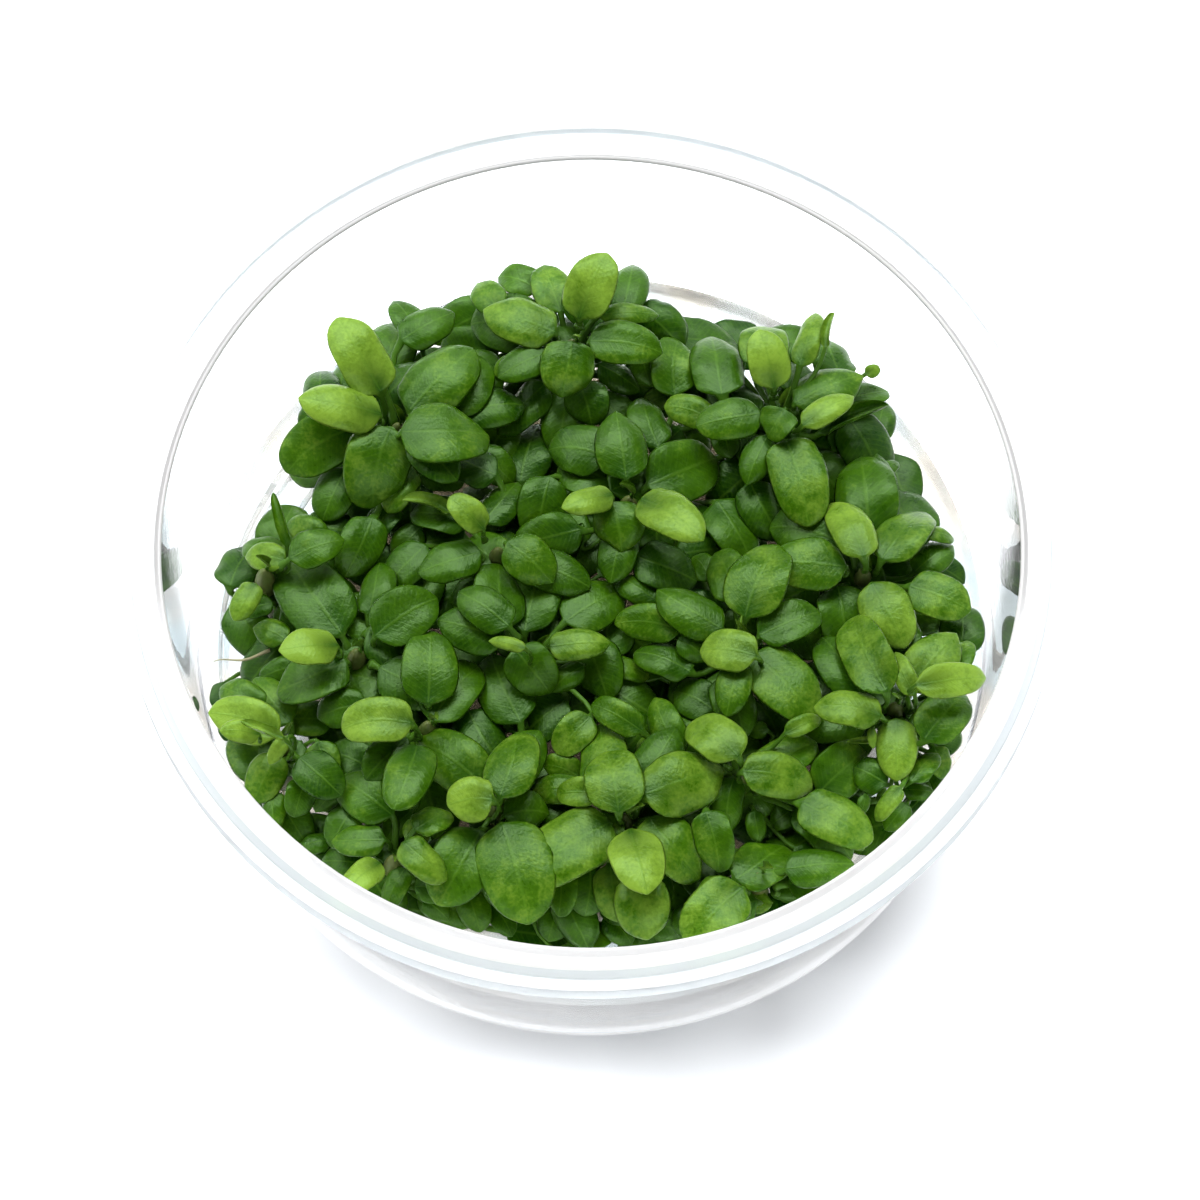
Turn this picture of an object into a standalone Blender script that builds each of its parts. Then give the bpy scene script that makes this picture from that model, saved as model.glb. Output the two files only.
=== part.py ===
"""A round tissue culture cup with nutrient gel and a clump of small anubias plantlets.

Metres, +Z up. The cup's axis is the Z axis, and its foot ring stands on z = 0.
"""

import itertools
import math

import bmesh
import bpy
from mathutils import Matrix, Vector
from mathutils.bvhtree import BVHTree

MM = 0.001

# Cup
rim_radius = 50.0 * MM
rim_width = 4.55 * MM
cup_height = 38.0 * MM
wall_taper = 2.7 * MM
wall = 1.0 * MM
floor_thickness = 1.0 * MM
flange_thickness = 1.1 * MM
shoulder_radius = 1.7 * MM
skirt_drop = 3.2 * MM
skirt_thickness = 1.0 * MM
base_fillet = 1.6 * MM
foot_height = 0.8 * MM
foot_width = 2.4 * MM
foot_inset = 2.2 * MM
cup_steps = 48
fillet_steps = 2
mouth_radius = rim_radius - rim_width
base_radius = mouth_radius - wall_taper

# Gel
gel_level = 12.6 * MM
meniscus_rise = 1.4 * MM
meniscus_width = 2.2 * MM
gel_steps = 34

# The room for the plants: clear height under the rim, and from the wall to the outermost rhizome's axis
headroom = 4.5 * MM
planting_margin = 5.6 * MM

# Rhizomes
rhizome_radius = 1.25 * MM
rhizome_depth = 2.0 * MM
bud_length = 2.0 * MM
rhizome_sides = 5
socket_sides = 5
foot_share = 0.2
foot_radii = (0.84, 1.0)
lowest_scar_share = 0.6

# Share of the rhizome's length, share of its radius, then the same along its bud
rhizome_levels = ((0.64, 0.86), (0.76, 1.0), (0.88, 0.98), (1.0, 0.86))
bud_levels = ((0.6, 0.56), (1.0, 0.12))

# Leaves
petiole_radius = 0.48 * MM
petiole_flatness = 0.86
petiole_pull = 0.4
root_slope = 62
blade_thickness = 0.46 * MM
blade_width_share = 0.74
tip_half_width = 0.16 * MM
tip_half_thickness = 0.12 * MM
blade_cup = 0.20
curved_share = 0.96
least_bare_petiole = 2.3 * MM
leaf_pitch = 0.75 * MM
petiole_stations = (0.0, 0.5, 1.0)

# Small leaves, fused to the rhizome that they grow from
small_leaves = 3
small_headings = 39
small_lengths = (5.8 * MM, 7.8 * MM)
small_length_step = 2.4
small_bare_petiole = 3.0 * MM
small_petiole_radius = 0.42 * MM
sheath_radius = 1.0 * MM
sheath_fade = 3
least_facing = 0.7
spiral_angle = 137.5

# Gaps
seat_gap = 0.3 * MM
leaf_clearance = 0.25 * MM

# Height of the blade's foot over the rhizome's tip, and its slope in degrees at its foot and at its tip
tiers = {
    "top": (4.6 * MM, 34, -14),
    "middle": (2.6 * MM, 22, -34),
    "low": (0.4 * MM, 10, -38),
}

# Share of the blade's length, share of its half width
large_outline = ((0.16, 0.62), (0.40, 1.0), (0.66, 0.88), (0.88, 0.42), (1.0, 0.0))
small_outline = ((0.22, 0.78), (0.50, 1.0), (0.80, 0.62), (1.0, 0.0))

# Cross sections: each corner's place across and above the middle, as shares of half the size there
large_section = ((1.0, 0.0), (0.5, 1.0), (-0.5, 1.0), (-1.0, 0.0), (-0.5, -1.0), (0.5, -1.0))
small_section = ((1.0, 0.0), (0.0, 1.0), (-1.0, 0.0), (0.0, -1.0))

# The plan below was measured with its outermost plantlet 37.4 mm from the cup's axis, and with 20.9 mm
# from the gel to the highest leaf. Every plantlet and leaf follows the cup's real room from there.
plan_radius = 37.4 * MM
plan_height = 20.9 * MM
plan_shoulder = 8.6 * MM

# Each plantlet: distance from the cup's axis in mm, its bearing in degrees, and its large leaves.
# Each leaf: heading in degrees, reach of its tip from the plantlet's axis in mm, blade length in mm, tier.
plantlets = (
    (29.5, 136, ((174, 10.2, 9.2, "top"), (121, 12.0, 8.5, "top"), (47, 11.7, 10.5, "middle"))),
    (
        30.7,
        94,
        (
            (65, 9.0, 8.4, "top"),
            (159, 9.9, 8.5, "middle"),
            (-9, 9.6, 8.3, "middle"),
            (106, 10.6, 6.4, "low"),
        ),
    ),
    (
        30.0,
        47,
        (
            (104, 8.0, 7.0, "top"),
            (24, 9.8, 8.4, "middle"),
            (-168, 8.8, 6.8, "middle"),
            (-77, 13.5, 9.7, "middle"),
        ),
    ),
    (12.4, 71, ((97, 9.8, 9.5, "middle"), (-41, 10.3, 9.6, "top"), (-157, 7.5, 7.4, "top"))),
    (11.6, 151, ((-160, 8.7, 7.2, "middle"), (139, 6.6, 6.6, "top"))),
    (29.7, 6, ((175, 10.1, 8.4, "middle"), (-23, 12.0, 6.7, "middle"), (-53, 9.7, 8.9, "middle"))),
    (26.1, -166, ((-169, 7.9, 6.9, "top"), (128, 13.6, 10.9, "low"), (34, 10.1, 7.6, "middle"))),
    (9.0, -136, ((5, 8.1, 7.0, "middle"), (161, 10.3, 7.3, "middle"))),
    (17.2, -19, ((145, 10.6, 8.0, "middle"), (24, 8.7, 6.7, "middle"), (-48, 11.2, 9.5, "middle"))),
    (22.9, -140, ((88, 10.1, 10.3, "middle"), (-105, 11.7, 8.0, "top"))),
    (26.0, -113, ((-75, 13.5, 10.9, "middle"), (-118, 12.3, 8.9, "middle"))),
    (35.0, -21, ((50, 10.0, 8.8, "middle"), (-90, 8.6, 7.4, "middle"))),
    (25.6, -82, ((-77, 10.4, 7.9, "top"), (-146, 12.6, 11.0, "middle"))),
    (26.0, -52, ((-29, 15.4, 8.0, "middle"),)),
    (36.7, -125, ((-130, 7.2, 5.5, "top"),)),
    (37.4, -153, ((180, 6.0, 4.9, "top"),)),
    (35.6, 175, ((-116, 6.5, 5.3, "middle"),)),
    (36.5, -61, ((-132, 10.6, 8.1, "middle"),)),
)

# Steps that a leaf turns, in degrees, and lifts to grow clear of its neighbours, the least first. One that
# still finds no room grows to the next share of its size.
turn_step = 6
lift_step = 0.8 * MM
most_turns = 10
most_lifts = 6
small_way_steps = 5
size_shares = (1.0, 0.85, 0.7, 0.55)
leaf_ways = sorted(
    (
        (turn, lift)
        for turn in range(-most_turns, most_turns + 1)
        for lift in range(-most_lifts, most_lifts + 1)
    ),
    key=lambda way: abs(way[0]) + abs(way[1]),
)
small_ways = [way for way in leaf_ways if abs(way[0]) + abs(way[1]) <= small_way_steps]

# Colour, roughness and alpha of the leaves
leaf_looks = {
    "top": ((0.30, 0.50, 0.06), 0.35, 1.0),
    "middle": ((0.12, 0.28, 0.04), 0.35, 1.0),
    "low": ((0.07, 0.18, 0.03), 0.4, 1.0),
}


def clear_scene():
    for obj in list(bpy.data.objects):
        bpy.data.objects.remove(obj, do_unlink=True)


def new_collection(name):
    found = bpy.data.collections.new(name)
    bpy.context.scene.collection.children.link(found)
    return found


def finish(obj, collection, look):
    """Puts obj in the collection and gives it a material of its own: colour, roughness, alpha."""
    color, roughness, alpha = look
    material = bpy.data.materials.new(obj.name)
    material.use_nodes = True
    shader = material.node_tree.nodes["Principled BSDF"]
    shader.inputs["Base Color"].default_value = (*color, 1.0)
    shader.inputs["Roughness"].default_value = roughness
    shader.inputs["Metallic"].default_value = 0.0
    shader.inputs["Alpha"].default_value = alpha
    obj.data.materials.append(material)
    collection.objects.link(obj)
    return obj


def turned(name, profile, steps):
    """An object turned about its own Z axis from a profile of (radius, height) points."""
    mesh = bpy.data.meshes.new(name)
    points = [(radius, 0.0, height) for radius, height in profile]
    edges = [(i, i + 1) for i in range(len(points) - 1)]
    mesh.from_pydata(points, edges, [])
    obj = bpy.data.objects.new(name, mesh)
    screw = obj.modifiers.new("Turn", "SCREW")
    screw.axis = "Z"
    screw.steps = steps
    screw.render_steps = steps
    screw.use_merge_vertices = True
    screw.merge_threshold = 0.00001
    return obj


def arc(center, radius, start, end, steps):
    """Points on a round, from the angle start to the angle end in degrees."""
    found = []
    for step in range(steps + 1):
        angle = math.radians(start + (end - start) * step / steps)
        found.append((center[0] + radius * math.cos(angle), center[1] + radius * math.sin(angle)))
    return found


def inner_radius(height):
    """The cup's inner radius at that height."""
    share = height / cup_height
    return (base_radius - wall) + (mouth_radius - (base_radius - wall)) * share


def plan_scale():
    """How much larger than in the plan the planted circle is."""
    return (inner_radius(gel_level) - planting_margin) / plan_radius


def stand_scale():
    """How much higher than in the plan the plants stand."""
    return (cup_height - headroom - gel_level) / plan_height


def shoulder_height():
    """Height of every rhizome's shoulder, where its bud starts."""
    return gel_level + plan_shoulder * stand_scale()


def build_cup(collection):
    floor_top = foot_height + floor_thickness
    inner_fillet = base_fillet - wall / 2
    low_inner = inner_radius(floor_top)
    flange_bottom = cup_height - flange_thickness
    skirt_inner = rim_radius - skirt_thickness
    skirt_end = cup_height - skirt_drop
    shoulder_center = (rim_radius - shoulder_radius, cup_height - shoulder_radius)
    outer_foot = base_radius - foot_inset
    profile = [(0.0, floor_top)]
    profile += arc((low_inner - inner_fillet, floor_top + inner_fillet), inner_fillet, -90, 0, fillet_steps)
    profile += [(mouth_radius, cup_height)]
    profile += arc(shoulder_center, shoulder_radius, 90, 0, fillet_steps)
    profile += [
        (rim_radius, skirt_end),
        (skirt_inner, skirt_end),
        (skirt_inner, flange_bottom),
        (inner_radius(flange_bottom) + wall, flange_bottom),
    ]
    profile += arc((base_radius - base_fillet, foot_height + base_fillet), base_fillet, 0, -90, fillet_steps)
    profile += [
        (outer_foot, 0.0),
        (outer_foot - foot_width, 0.0),
        (outer_foot - foot_width - foot_height, foot_height),
        (0.0, foot_height),
    ]
    return finish(turned("cup", profile, cup_steps), collection, ((0.86, 0.89, 0.92), 0.08, 0.3))


def gel_top(radius):
    """Height of the gel's surface: level, with a meniscus that climbs the wall."""
    start = inner_radius(gel_level) - seat_gap - meniscus_width
    share = min(1.0, max(0.0, (radius - start) / meniscus_width))
    return gel_level + meniscus_rise * share * share


def build_gel(collection, sockets):
    bottom = foot_height + floor_thickness + seat_gap
    fillet = base_fillet
    low = inner_radius(bottom) - seat_gap
    edge = inner_radius(gel_level + meniscus_rise) - seat_gap
    profile = [(0.0, gel_top(0.0))]
    for share in (1.0, 0.45, 0.0):
        radius = edge - meniscus_width * share
        profile.append((radius, gel_top(radius)))
    profile += arc((low - fillet, bottom + fillet), fillet, 0, -90, fillet_steps)
    profile.append((0.0, bottom))
    gel = turned("nutrient_gel", profile, gel_steps)
    cut = gel.modifiers.new("Sockets", "BOOLEAN")
    cut.operation = "DIFFERENCE"
    cut.solver = "EXACT"
    cut.operand_type = "COLLECTION"
    cut.collection = sockets
    return finish(gel, collection, ((0.93, 0.92, 0.86), 0.15, 0.45))


def standing_place(distance, bearing):
    angle = math.radians(bearing)
    radius = distance * plan_scale()
    return Vector((radius * math.cos(angle), radius * math.sin(angle), 0.0))


def build_socket(name, place, collection):
    """The hole in the gel that a rhizome's foot stands in."""
    top = gel_level + meniscus_rise
    bottom = gel_level - rhizome_depth - seat_gap
    radius = (rhizome_radius + seat_gap) / math.cos(math.pi / socket_sides)
    bm = bmesh.new()
    bmesh.ops.create_cone(
        bm,
        cap_ends=True,
        segments=socket_sides,
        radius1=radius,
        radius2=radius,
        depth=top - bottom,
    )
    mesh = bpy.data.meshes.new(name)
    bm.to_mesh(mesh)
    bm.free()
    cutter = bpy.data.objects.new(name, mesh)
    cutter.location = (place.x, place.y, (top + bottom) / 2)
    cutter.hide_render = True
    cutter.display_type = "WIRE"
    collection.objects.link(cutter)
    return cutter


def build_rhizome():
    """A short upright stem with leaf scars and a blunt bud, its foot at z = 0, and its free side faces."""
    length = shoulder_height() - gel_level + rhizome_depth
    foot = length * foot_share
    levels = [(length * share, width) for share, width in rhizome_levels]
    levels += [(length + bud_length * share, width) for share, width in bud_levels]
    bm = bmesh.new()
    bmesh.ops.create_cone(
        bm,
        cap_ends=True,
        segments=rhizome_sides,
        radius1=rhizome_radius * foot_radii[0],
        radius2=rhizome_radius * foot_radii[1],
        depth=foot,
    )
    bmesh.ops.translate(bm, verts=bm.verts[:], vec=(0.0, 0.0, foot / 2))
    end = max(bm.faces, key=lambda face: face.calc_center_median().z)
    radius = rhizome_radius * foot_radii[1]
    for height, share in levels:
        end = bmesh.ops.extrude_discrete_faces(bm, faces=[end])["faces"][0]
        for vertex in end.verts:
            vertex.co.x *= rhizome_radius * share / radius
            vertex.co.y *= rhizome_radius * share / radius
            vertex.co.z = height
        radius = rhizome_radius * share
    bm.normal_update()
    free = [
        face
        for face in bm.faces
        if len(face.verts) == 4 and length * lowest_scar_share < face.calc_center_median().z < length
    ]
    return bm, free


def large_root(foot):
    """Where a separate leaf's petiole starts: beside the rhizome, that far below its shoulder."""
    out = rhizome_radius + seat_gap + petiole_radius
    return Vector((out, 0.0, shoulder_height() - foot))


def leaf_rings(leaf, root, grow=0.0):
    """The leaf's cross sections along its own X axis: centre, slope, half width, half height, edge lift."""
    base_slope = math.radians(leaf["base_slope"])
    tip_slope = math.radians(leaf["tip_slope"])
    spread = leaf["length"] * math.cos((base_slope + tip_slope) / 2) * curved_share
    start_x = max(least_bare_petiole, leaf["reach"] - spread)
    length = leaf["length"] * (leaf["reach"] - start_x) / spread
    start = Vector((start_x, 0.0, shoulder_height() + leaf["rise"]))
    foot_slope = math.radians(root_slope)
    pull = (start - root).length * petiole_pull
    first = root + pull * Vector((math.cos(foot_slope), 0.0, math.sin(foot_slope)))
    second = start - pull * Vector((math.cos(base_slope), 0.0, math.sin(base_slope)))
    rings = []
    for share in petiole_stations:
        rest = 1.0 - share
        radius = leaf["petiole"] + (leaf["sheath"] - leaf["petiole"]) * rest**sheath_fade
        center = (
            root * rest**3
            + first * 3 * rest * rest * share
            + second * 3 * rest * share * share
            + start * share**3
        )
        slope = foot_slope + (base_slope - foot_slope) * share
        rings.append((center, slope, radius + grow, radius * petiole_flatness + grow, 0.0))
    half = length * blade_width_share / 2
    center = start.copy()
    done = 0.0
    for along, share in leaf["outline"]:
        slope = base_slope + (tip_slope - base_slope) * (along + done) / 2
        center = center + (along - done) * length * Vector((math.cos(slope), 0.0, math.sin(slope)))
        done = along
        width = max(half * share, tip_half_width) + grow
        height = max(blade_thickness / 2 * min(1.0, share * 2), tip_half_thickness) + grow
        slope = base_slope + (tip_slope - base_slope) * along
        rings.append((center, slope, width, height, blade_cup * half * share))
    return rings


def ring_points(ring, section):
    center, slope, width, height, lift = ring
    side = Vector((0.0, 1.0, 0.0))
    normal = Vector((-math.sin(slope), 0.0, math.cos(slope)))
    return [center + side * (width * x) + normal * (height * z + lift * x * x) for x, z in section]


def closed_leaf(rings, section):
    """A leaf by itself: its petiole's end is drawn out along the cross sections to the blade's tip."""
    bm = bmesh.new()
    bmesh.ops.create_circle(bm, cap_ends=True, segments=len(section), radius=petiole_radius)
    for vertex, point in zip(bm.verts, ring_points(rings[0], section)):
        vertex.co = point
    edges = bm.edges[:]
    for ring in rings[1:]:
        drawn = bmesh.ops.extrude_edge_only(bm, edges=edges)["geom"]
        edges = [item for item in drawn if isinstance(item, bmesh.types.BMEdge)]
        corners = [item for item in drawn if isinstance(item, bmesh.types.BMVert)]
        for vertex, point in zip(corners, ring_points(ring, section)):
            vertex.co = point
    bmesh.ops.contextual_create(bm, geom=edges)
    bmesh.ops.recalc_face_normals(bm, faces=bm.faces[:])
    return bm


def draw_from_face(bm, face, rings, matrix):
    """Draws a side face of the rhizome out along the cross sections, so that the leaf grows from it."""
    targets = [[matrix @ point for point in ring_points(ring, small_section)] for ring in rings]
    corners = [vertex.co.copy() for vertex in face.verts]
    count = len(corners)
    shift = min(
        range(count),
        key=lambda way: sum((co - targets[0][(way + i) % count]).length for i, co in enumerate(corners)),
    )
    for points in targets:
        face = bmesh.ops.extrude_discrete_faces(bm, faces=[face])["faces"][0]
        for i, vertex in enumerate(face.verts):
            vertex.co = points[(shift + i) % count]


def solid_of(bm, matrix):
    """The placed solid: its faces for the overlap test, and its lowest and highest corner."""
    bm.verts.index_update()
    points = [matrix @ vertex.co for vertex in bm.verts]
    faces = [[vertex.index for vertex in face.verts] for face in bm.faces]
    low = Vector([min(point[i] for point in points) for i in range(3)])
    high = Vector([max(point[i] for point in points) for i in range(3)])
    return BVHTree.FromPolygons(points, faces), low, high, points


def stands_free(points):
    """Are the points clear of the cup's faceted wall and of the gel, and low enough?"""
    for point in points:
        radius = point.xy.length
        wall_radius = inner_radius(point.z) * math.cos(math.pi / cup_steps)
        if radius > wall_radius - leaf_clearance or point.z < gel_top(radius) + leaf_clearance:
            return False
    return max(point.z for point in points) < cup_height - headroom


def meet(one, other):
    """Do two placed solids touch? Their boxes are compared first."""
    if any(one[1][i] > other[2][i] or other[1][i] > one[2][i] for i in range(3)):
        return False
    return bool(one[0].overlap(other[0]))


def settle(leaf, place, root, section, solids, ways):
    """Turns and lifts the leaf as little as it takes to clear those solids. None if no way is clear."""
    for turn, lift in ways:
        heading = leaf["heading"] + turn * turn_step
        trial = dict(leaf, heading=heading, rise=leaf["rise"] + lift * lift_step)
        matrix = Matrix.Translation(place) @ Matrix.Rotation(math.radians(trial["heading"]), 4, "Z")
        bm = closed_leaf(leaf_rings(trial, root, leaf_clearance), section)
        solid = solid_of(bm, matrix)
        bm.free()
        if stands_free(solid[3]) and not any(meet(solid, other) for other in solids):
            return trial, matrix, solid
    return None


def leaf_values(heading, reach, length, tier, petiole, sheath, outline):
    rise, base_slope, tip_slope = tiers[tier]
    return {
        "heading": heading,
        "reach": reach,
        "length": length,
        "rise": rise * stand_scale(),
        "base_slope": base_slope,
        "tip_slope": tip_slope,
        "petiole": petiole,
        "sheath": sheath,
        "outline": outline,
    }


def grow_large_leaf(name, place, measured, foot, others, collection):
    heading, reach, length, tier = measured
    root = large_root(foot)
    found = None
    for share in size_shares:
        size = share * plan_scale() * MM
        leaf = leaf_values(
            heading, reach * size, length * size, tier, petiole_radius, petiole_radius, large_outline
        )
        found = found or settle(leaf, place, root, large_section, others.values(), leaf_ways)
    trial, matrix, _ = found
    bm = closed_leaf(leaf_rings(trial, root), large_section)
    others[name] = solid_of(bm, matrix)
    mesh = bpy.data.meshes.new(name)
    bm.to_mesh(mesh)
    bm.free()
    obj = bpy.data.objects.new(name, mesh)
    obj.matrix_world = matrix
    return finish(obj, collection, leaf_looks[tier])


def grow_plantlet(name, number, place, taken, others, collection):
    """The rhizome with its small leaves, each drawn from a free side face in the first clear heading."""
    bottom = gel_level - rhizome_depth
    low = Vector((place.x, place.y, bottom))
    bm, free = build_rhizome()
    grown = 0
    for share, turn in itertools.product(size_shares, range(1, small_headings + 1)):
        if grown == small_leaves:
            break
        heading = taken + spiral_angle * turn
        size = 0.5 + 0.5 * math.sin(small_length_step * (number * small_leaves + turn))
        length = small_lengths[0] + (small_lengths[1] - small_lengths[0]) * size
        length *= share * plan_scale()
        toward = Vector((math.cos(math.radians(heading)), math.sin(math.radians(heading)), 0.0))
        facing = [item for item in free if item.normal.dot(toward) > least_facing]
        if not facing:
            continue
        face = max(facing, key=lambda item: item.calc_center_median().z)
        middle = face.calc_center_median()
        root = Vector((middle.xy.length, 0.0, bottom + middle.z))
        tier = ("low", "middle")[turn % 2]
        reach = length + small_bare_petiole
        leaf = leaf_values(
            heading, reach, length, tier, small_petiole_radius, sheath_radius, small_outline
        )
        solids = [solid for key, solid in others.items() if key != name]
        found = settle(leaf, place, root, small_section, solids, small_ways)
        if found is None:
            continue
        trial, matrix, solid = found
        draw_from_face(bm, face, leaf_rings(trial, root)[1:], Matrix.Translation(-low) @ matrix)
        free.remove(face)
        grown += 1
        others[f"{name}_small_{grown}"] = solid
    mesh = bpy.data.meshes.new(name)
    bm.to_mesh(mesh)
    bm.free()
    obj = bpy.data.objects.new(name, mesh)
    obj.location = low
    return finish(obj, collection, leaf_looks["low"])


def main():
    clear_scene()
    part = new_collection("tissue_culture_anubias")
    sockets = new_collection("sockets")
    build_cup(part)
    build_gel(part, sockets)
    places = []
    others = {}
    for number, (distance, bearing, _) in enumerate(plantlets, 1):
        place = standing_place(distance * MM, bearing)
        places.append(place)
        build_socket(f"socket_{number:02d}", place, sockets)
        stem, _ = build_rhizome()
        foot = Matrix.Translation((place.x, place.y, gel_level - rhizome_depth))
        others[f"plantlet_{number:02d}"] = solid_of(stem, foot)
        stem.free()
    for number, (place, (_, _, leaves)) in enumerate(zip(places, plantlets), 1):
        for count, leaf in enumerate(leaves):
            name = f"plantlet_{number:02d}_leaf_{'abcd'[count]}"
            grow_large_leaf(name, place, leaf, leaf_pitch * (count + 1), others, part)
    for number, (place, (_, _, leaves)) in enumerate(zip(places, plantlets), 1):
        grow_plantlet(f"plantlet_{number:02d}", number, place, leaves[0][0], others, part)


main()
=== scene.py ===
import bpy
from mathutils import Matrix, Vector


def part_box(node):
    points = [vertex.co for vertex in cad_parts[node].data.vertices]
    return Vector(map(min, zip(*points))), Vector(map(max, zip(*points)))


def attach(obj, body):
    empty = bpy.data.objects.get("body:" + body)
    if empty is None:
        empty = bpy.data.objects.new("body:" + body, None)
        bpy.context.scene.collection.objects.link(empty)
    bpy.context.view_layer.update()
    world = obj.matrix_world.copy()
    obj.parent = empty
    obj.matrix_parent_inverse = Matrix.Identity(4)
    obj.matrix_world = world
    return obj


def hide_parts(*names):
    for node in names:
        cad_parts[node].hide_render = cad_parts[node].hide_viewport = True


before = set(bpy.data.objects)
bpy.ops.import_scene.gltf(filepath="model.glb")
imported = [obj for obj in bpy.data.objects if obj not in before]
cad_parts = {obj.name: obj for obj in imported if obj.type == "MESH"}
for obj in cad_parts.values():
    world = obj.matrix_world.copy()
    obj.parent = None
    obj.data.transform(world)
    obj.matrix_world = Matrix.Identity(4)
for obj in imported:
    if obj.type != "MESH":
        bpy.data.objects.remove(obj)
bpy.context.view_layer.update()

import math
import random

import bmesh
import bpy
from mathutils import Vector
from mathutils.bvhtree import BVHTree

mm = 0.001
random.seed(7)

# The view: straight down the long lens, 67 degrees below the horizon
viewSettings = {"place": (0.95, -254.1, 619.4), "tilt": 23.05, "lens": 180, "sensor": 36}

# Soft studio light: a white surround and three large soft boxes, places and sizes in metres
lightSettings = {
    "surround": 0.06,
    "seenWhite": 1.0,
    "boxes": (
        ("softBoxBack", (0.05, 0.75, 1.1), (0.9, 0.8), 15.5),
        ("softBoxLeft", (-0.65, 0.5, 0.9), (0.7, 0.7), 6.0),
        ("softBoxFront", (0.35, -0.9, 0.9), (0.9, 0.6), 3.6),
    ),
}
floorSettings = {"width": 6.0, "seenColour": "#F1F4F8", "colour": "#F2F2F2", "glow": 0.42}


def linearColour(text):
    # sRGB hex to the linear values that the shaders take
    values = [int(text[i : i + 2], 16) / 255 for i in (1, 3, 5)]
    return [v / 12.92 if v <= 0.04045 else ((v + 0.055) / 1.055) ** 2.4 for v in values] + [1.0]


def addNode(tree, kind, inputs=None, **settings):
    # a node with its settings; each input is a plain value or the socket that feeds it
    node = tree.nodes.new(kind)
    for name, value in settings.items():
        setattr(node, name, value)
    for name, value in (inputs or {}).items():
        if isinstance(value, bpy.types.NodeSocket):
            tree.links.new(value, node.inputs[name])
        else:
            node.inputs[name].default_value = value
    return node


def newMaterial(name):
    material = bpy.data.materials.new(name)
    material.use_nodes = True
    material.node_tree.nodes.clear()
    return material, material.node_tree


def selectOnly(obj):
    bpy.ops.object.select_all(action="DESELECT")
    obj.select_set(True)
    bpy.context.view_layer.objects.active = obj


# view, light and floor


def seenWhite(tree):
    # 1 where the eye meets the background, straight, through clear pieces or in their sharp
    # reflections, and 0 where it only lights
    path = addNode(tree, "ShaderNodeLightPath")
    eye = addNode(
        tree,
        "ShaderNodeMath",
        {0: path.outputs["Is Camera Ray"], 1: path.outputs["Is Transmission Ray"]},
        operation="MAXIMUM",
    )
    eye = addNode(
        tree, "ShaderNodeMath", {0: eye.outputs[0], 1: path.outputs["Is Singular Ray"]}, operation="MAXIMUM"
    )
    direct = addNode(tree, "ShaderNodeMath", {0: path.outputs["Diffuse Depth"], 1: 0.5}, operation="LESS_THAN")
    return addNode(
        tree, "ShaderNodeMath", {0: eye.outputs[0], 1: direct.outputs[0]}, operation="MULTIPLY"
    ).outputs[0]


def setView():
    bpy.ops.object.camera_add(
        location=[value * mm for value in viewSettings["place"]],
        rotation=(math.radians(viewSettings["tilt"]), 0, 0),
    )
    camera = bpy.context.object
    camera.data.lens = viewSettings["lens"]
    camera.data.sensor_width = viewSettings["sensor"]
    camera.data.clip_end = 20
    bpy.context.scene.camera = camera
    bpy.context.scene.view_settings.view_transform = "Standard"


def setLight():
    for name, place, size, power in lightSettings["boxes"]:
        bpy.ops.object.light_add(type="AREA", location=place)
        lamp = bpy.context.object
        lamp.name = name
        lamp.data.shape = "RECTANGLE"
        lamp.data.size, lamp.data.size_y = size
        lamp.data.energy = power
        aim = Vector((0, 0, 0.02)) - Vector(place)
        lamp.rotation_euler = aim.to_track_quat("-Z", "Y").to_euler()
    world = bpy.data.worlds.new("studio")
    bpy.context.scene.world = world
    world.use_nodes = True
    tree = world.node_tree
    tree.nodes.clear()
    strength = addNode(
        tree,
        "ShaderNodeMapRange",
        {"Value": seenWhite(tree), "To Min": lightSettings["surround"], "To Max": lightSettings["seenWhite"]},
    )
    white = addNode(
        tree, "ShaderNodeBackground", {"Color": (1, 1, 1, 1), "Strength": strength.outputs[0]}
    )
    addNode(tree, "ShaderNodeOutputWorld", {"Surface": white.outputs[0]})


def buildFloor():
    bpy.ops.mesh.primitive_plane_add(size=floorSettings["width"])
    floor = bpy.context.object
    floor.name = "studio_floor"
    material, tree = newMaterial("matt white studio paper")
    plain = addNode(tree, "ShaderNodeBsdfDiffuse", {"Color": linearColour(floorSettings["colour"])})
    white = addNode(tree, "ShaderNodeBsdfDiffuse", {"Color": linearColour(floorSettings["seenColour"])})
    # painted light: seen through clear pieces the paper glows, standing in for the light that falls on it round the cup
    path = addNode(tree, "ShaderNodeLightPath")
    strength = addNode(
        tree,
        "ShaderNodeMapRange",
        {"Value": path.outputs["Is Camera Ray"], "To Min": floorSettings["glow"], "To Max": 0.02},
    )
    glow = addNode(tree, "ShaderNodeEmission", {"Strength": strength.outputs[0]})
    # seen, the paper counts twice, so that it is white where it is lit and keeps its shadows
    double = addNode(tree, "ShaderNodeAddShader", {0: white.outputs[0], 1: white.outputs[0]})
    bright = addNode(tree, "ShaderNodeAddShader", {0: double.outputs[0], 1: glow.outputs[0]})
    shown = addNode(
        tree, "ShaderNodeMixShader", {0: seenWhite(tree), 1: plain.outputs[0], 2: bright.outputs[0]}
    )
    addNode(tree, "ShaderNodeOutputMaterial", {"Surface": shown.outputs[0]})
    floor.data.materials.append(material)


# cup and gel

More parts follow.
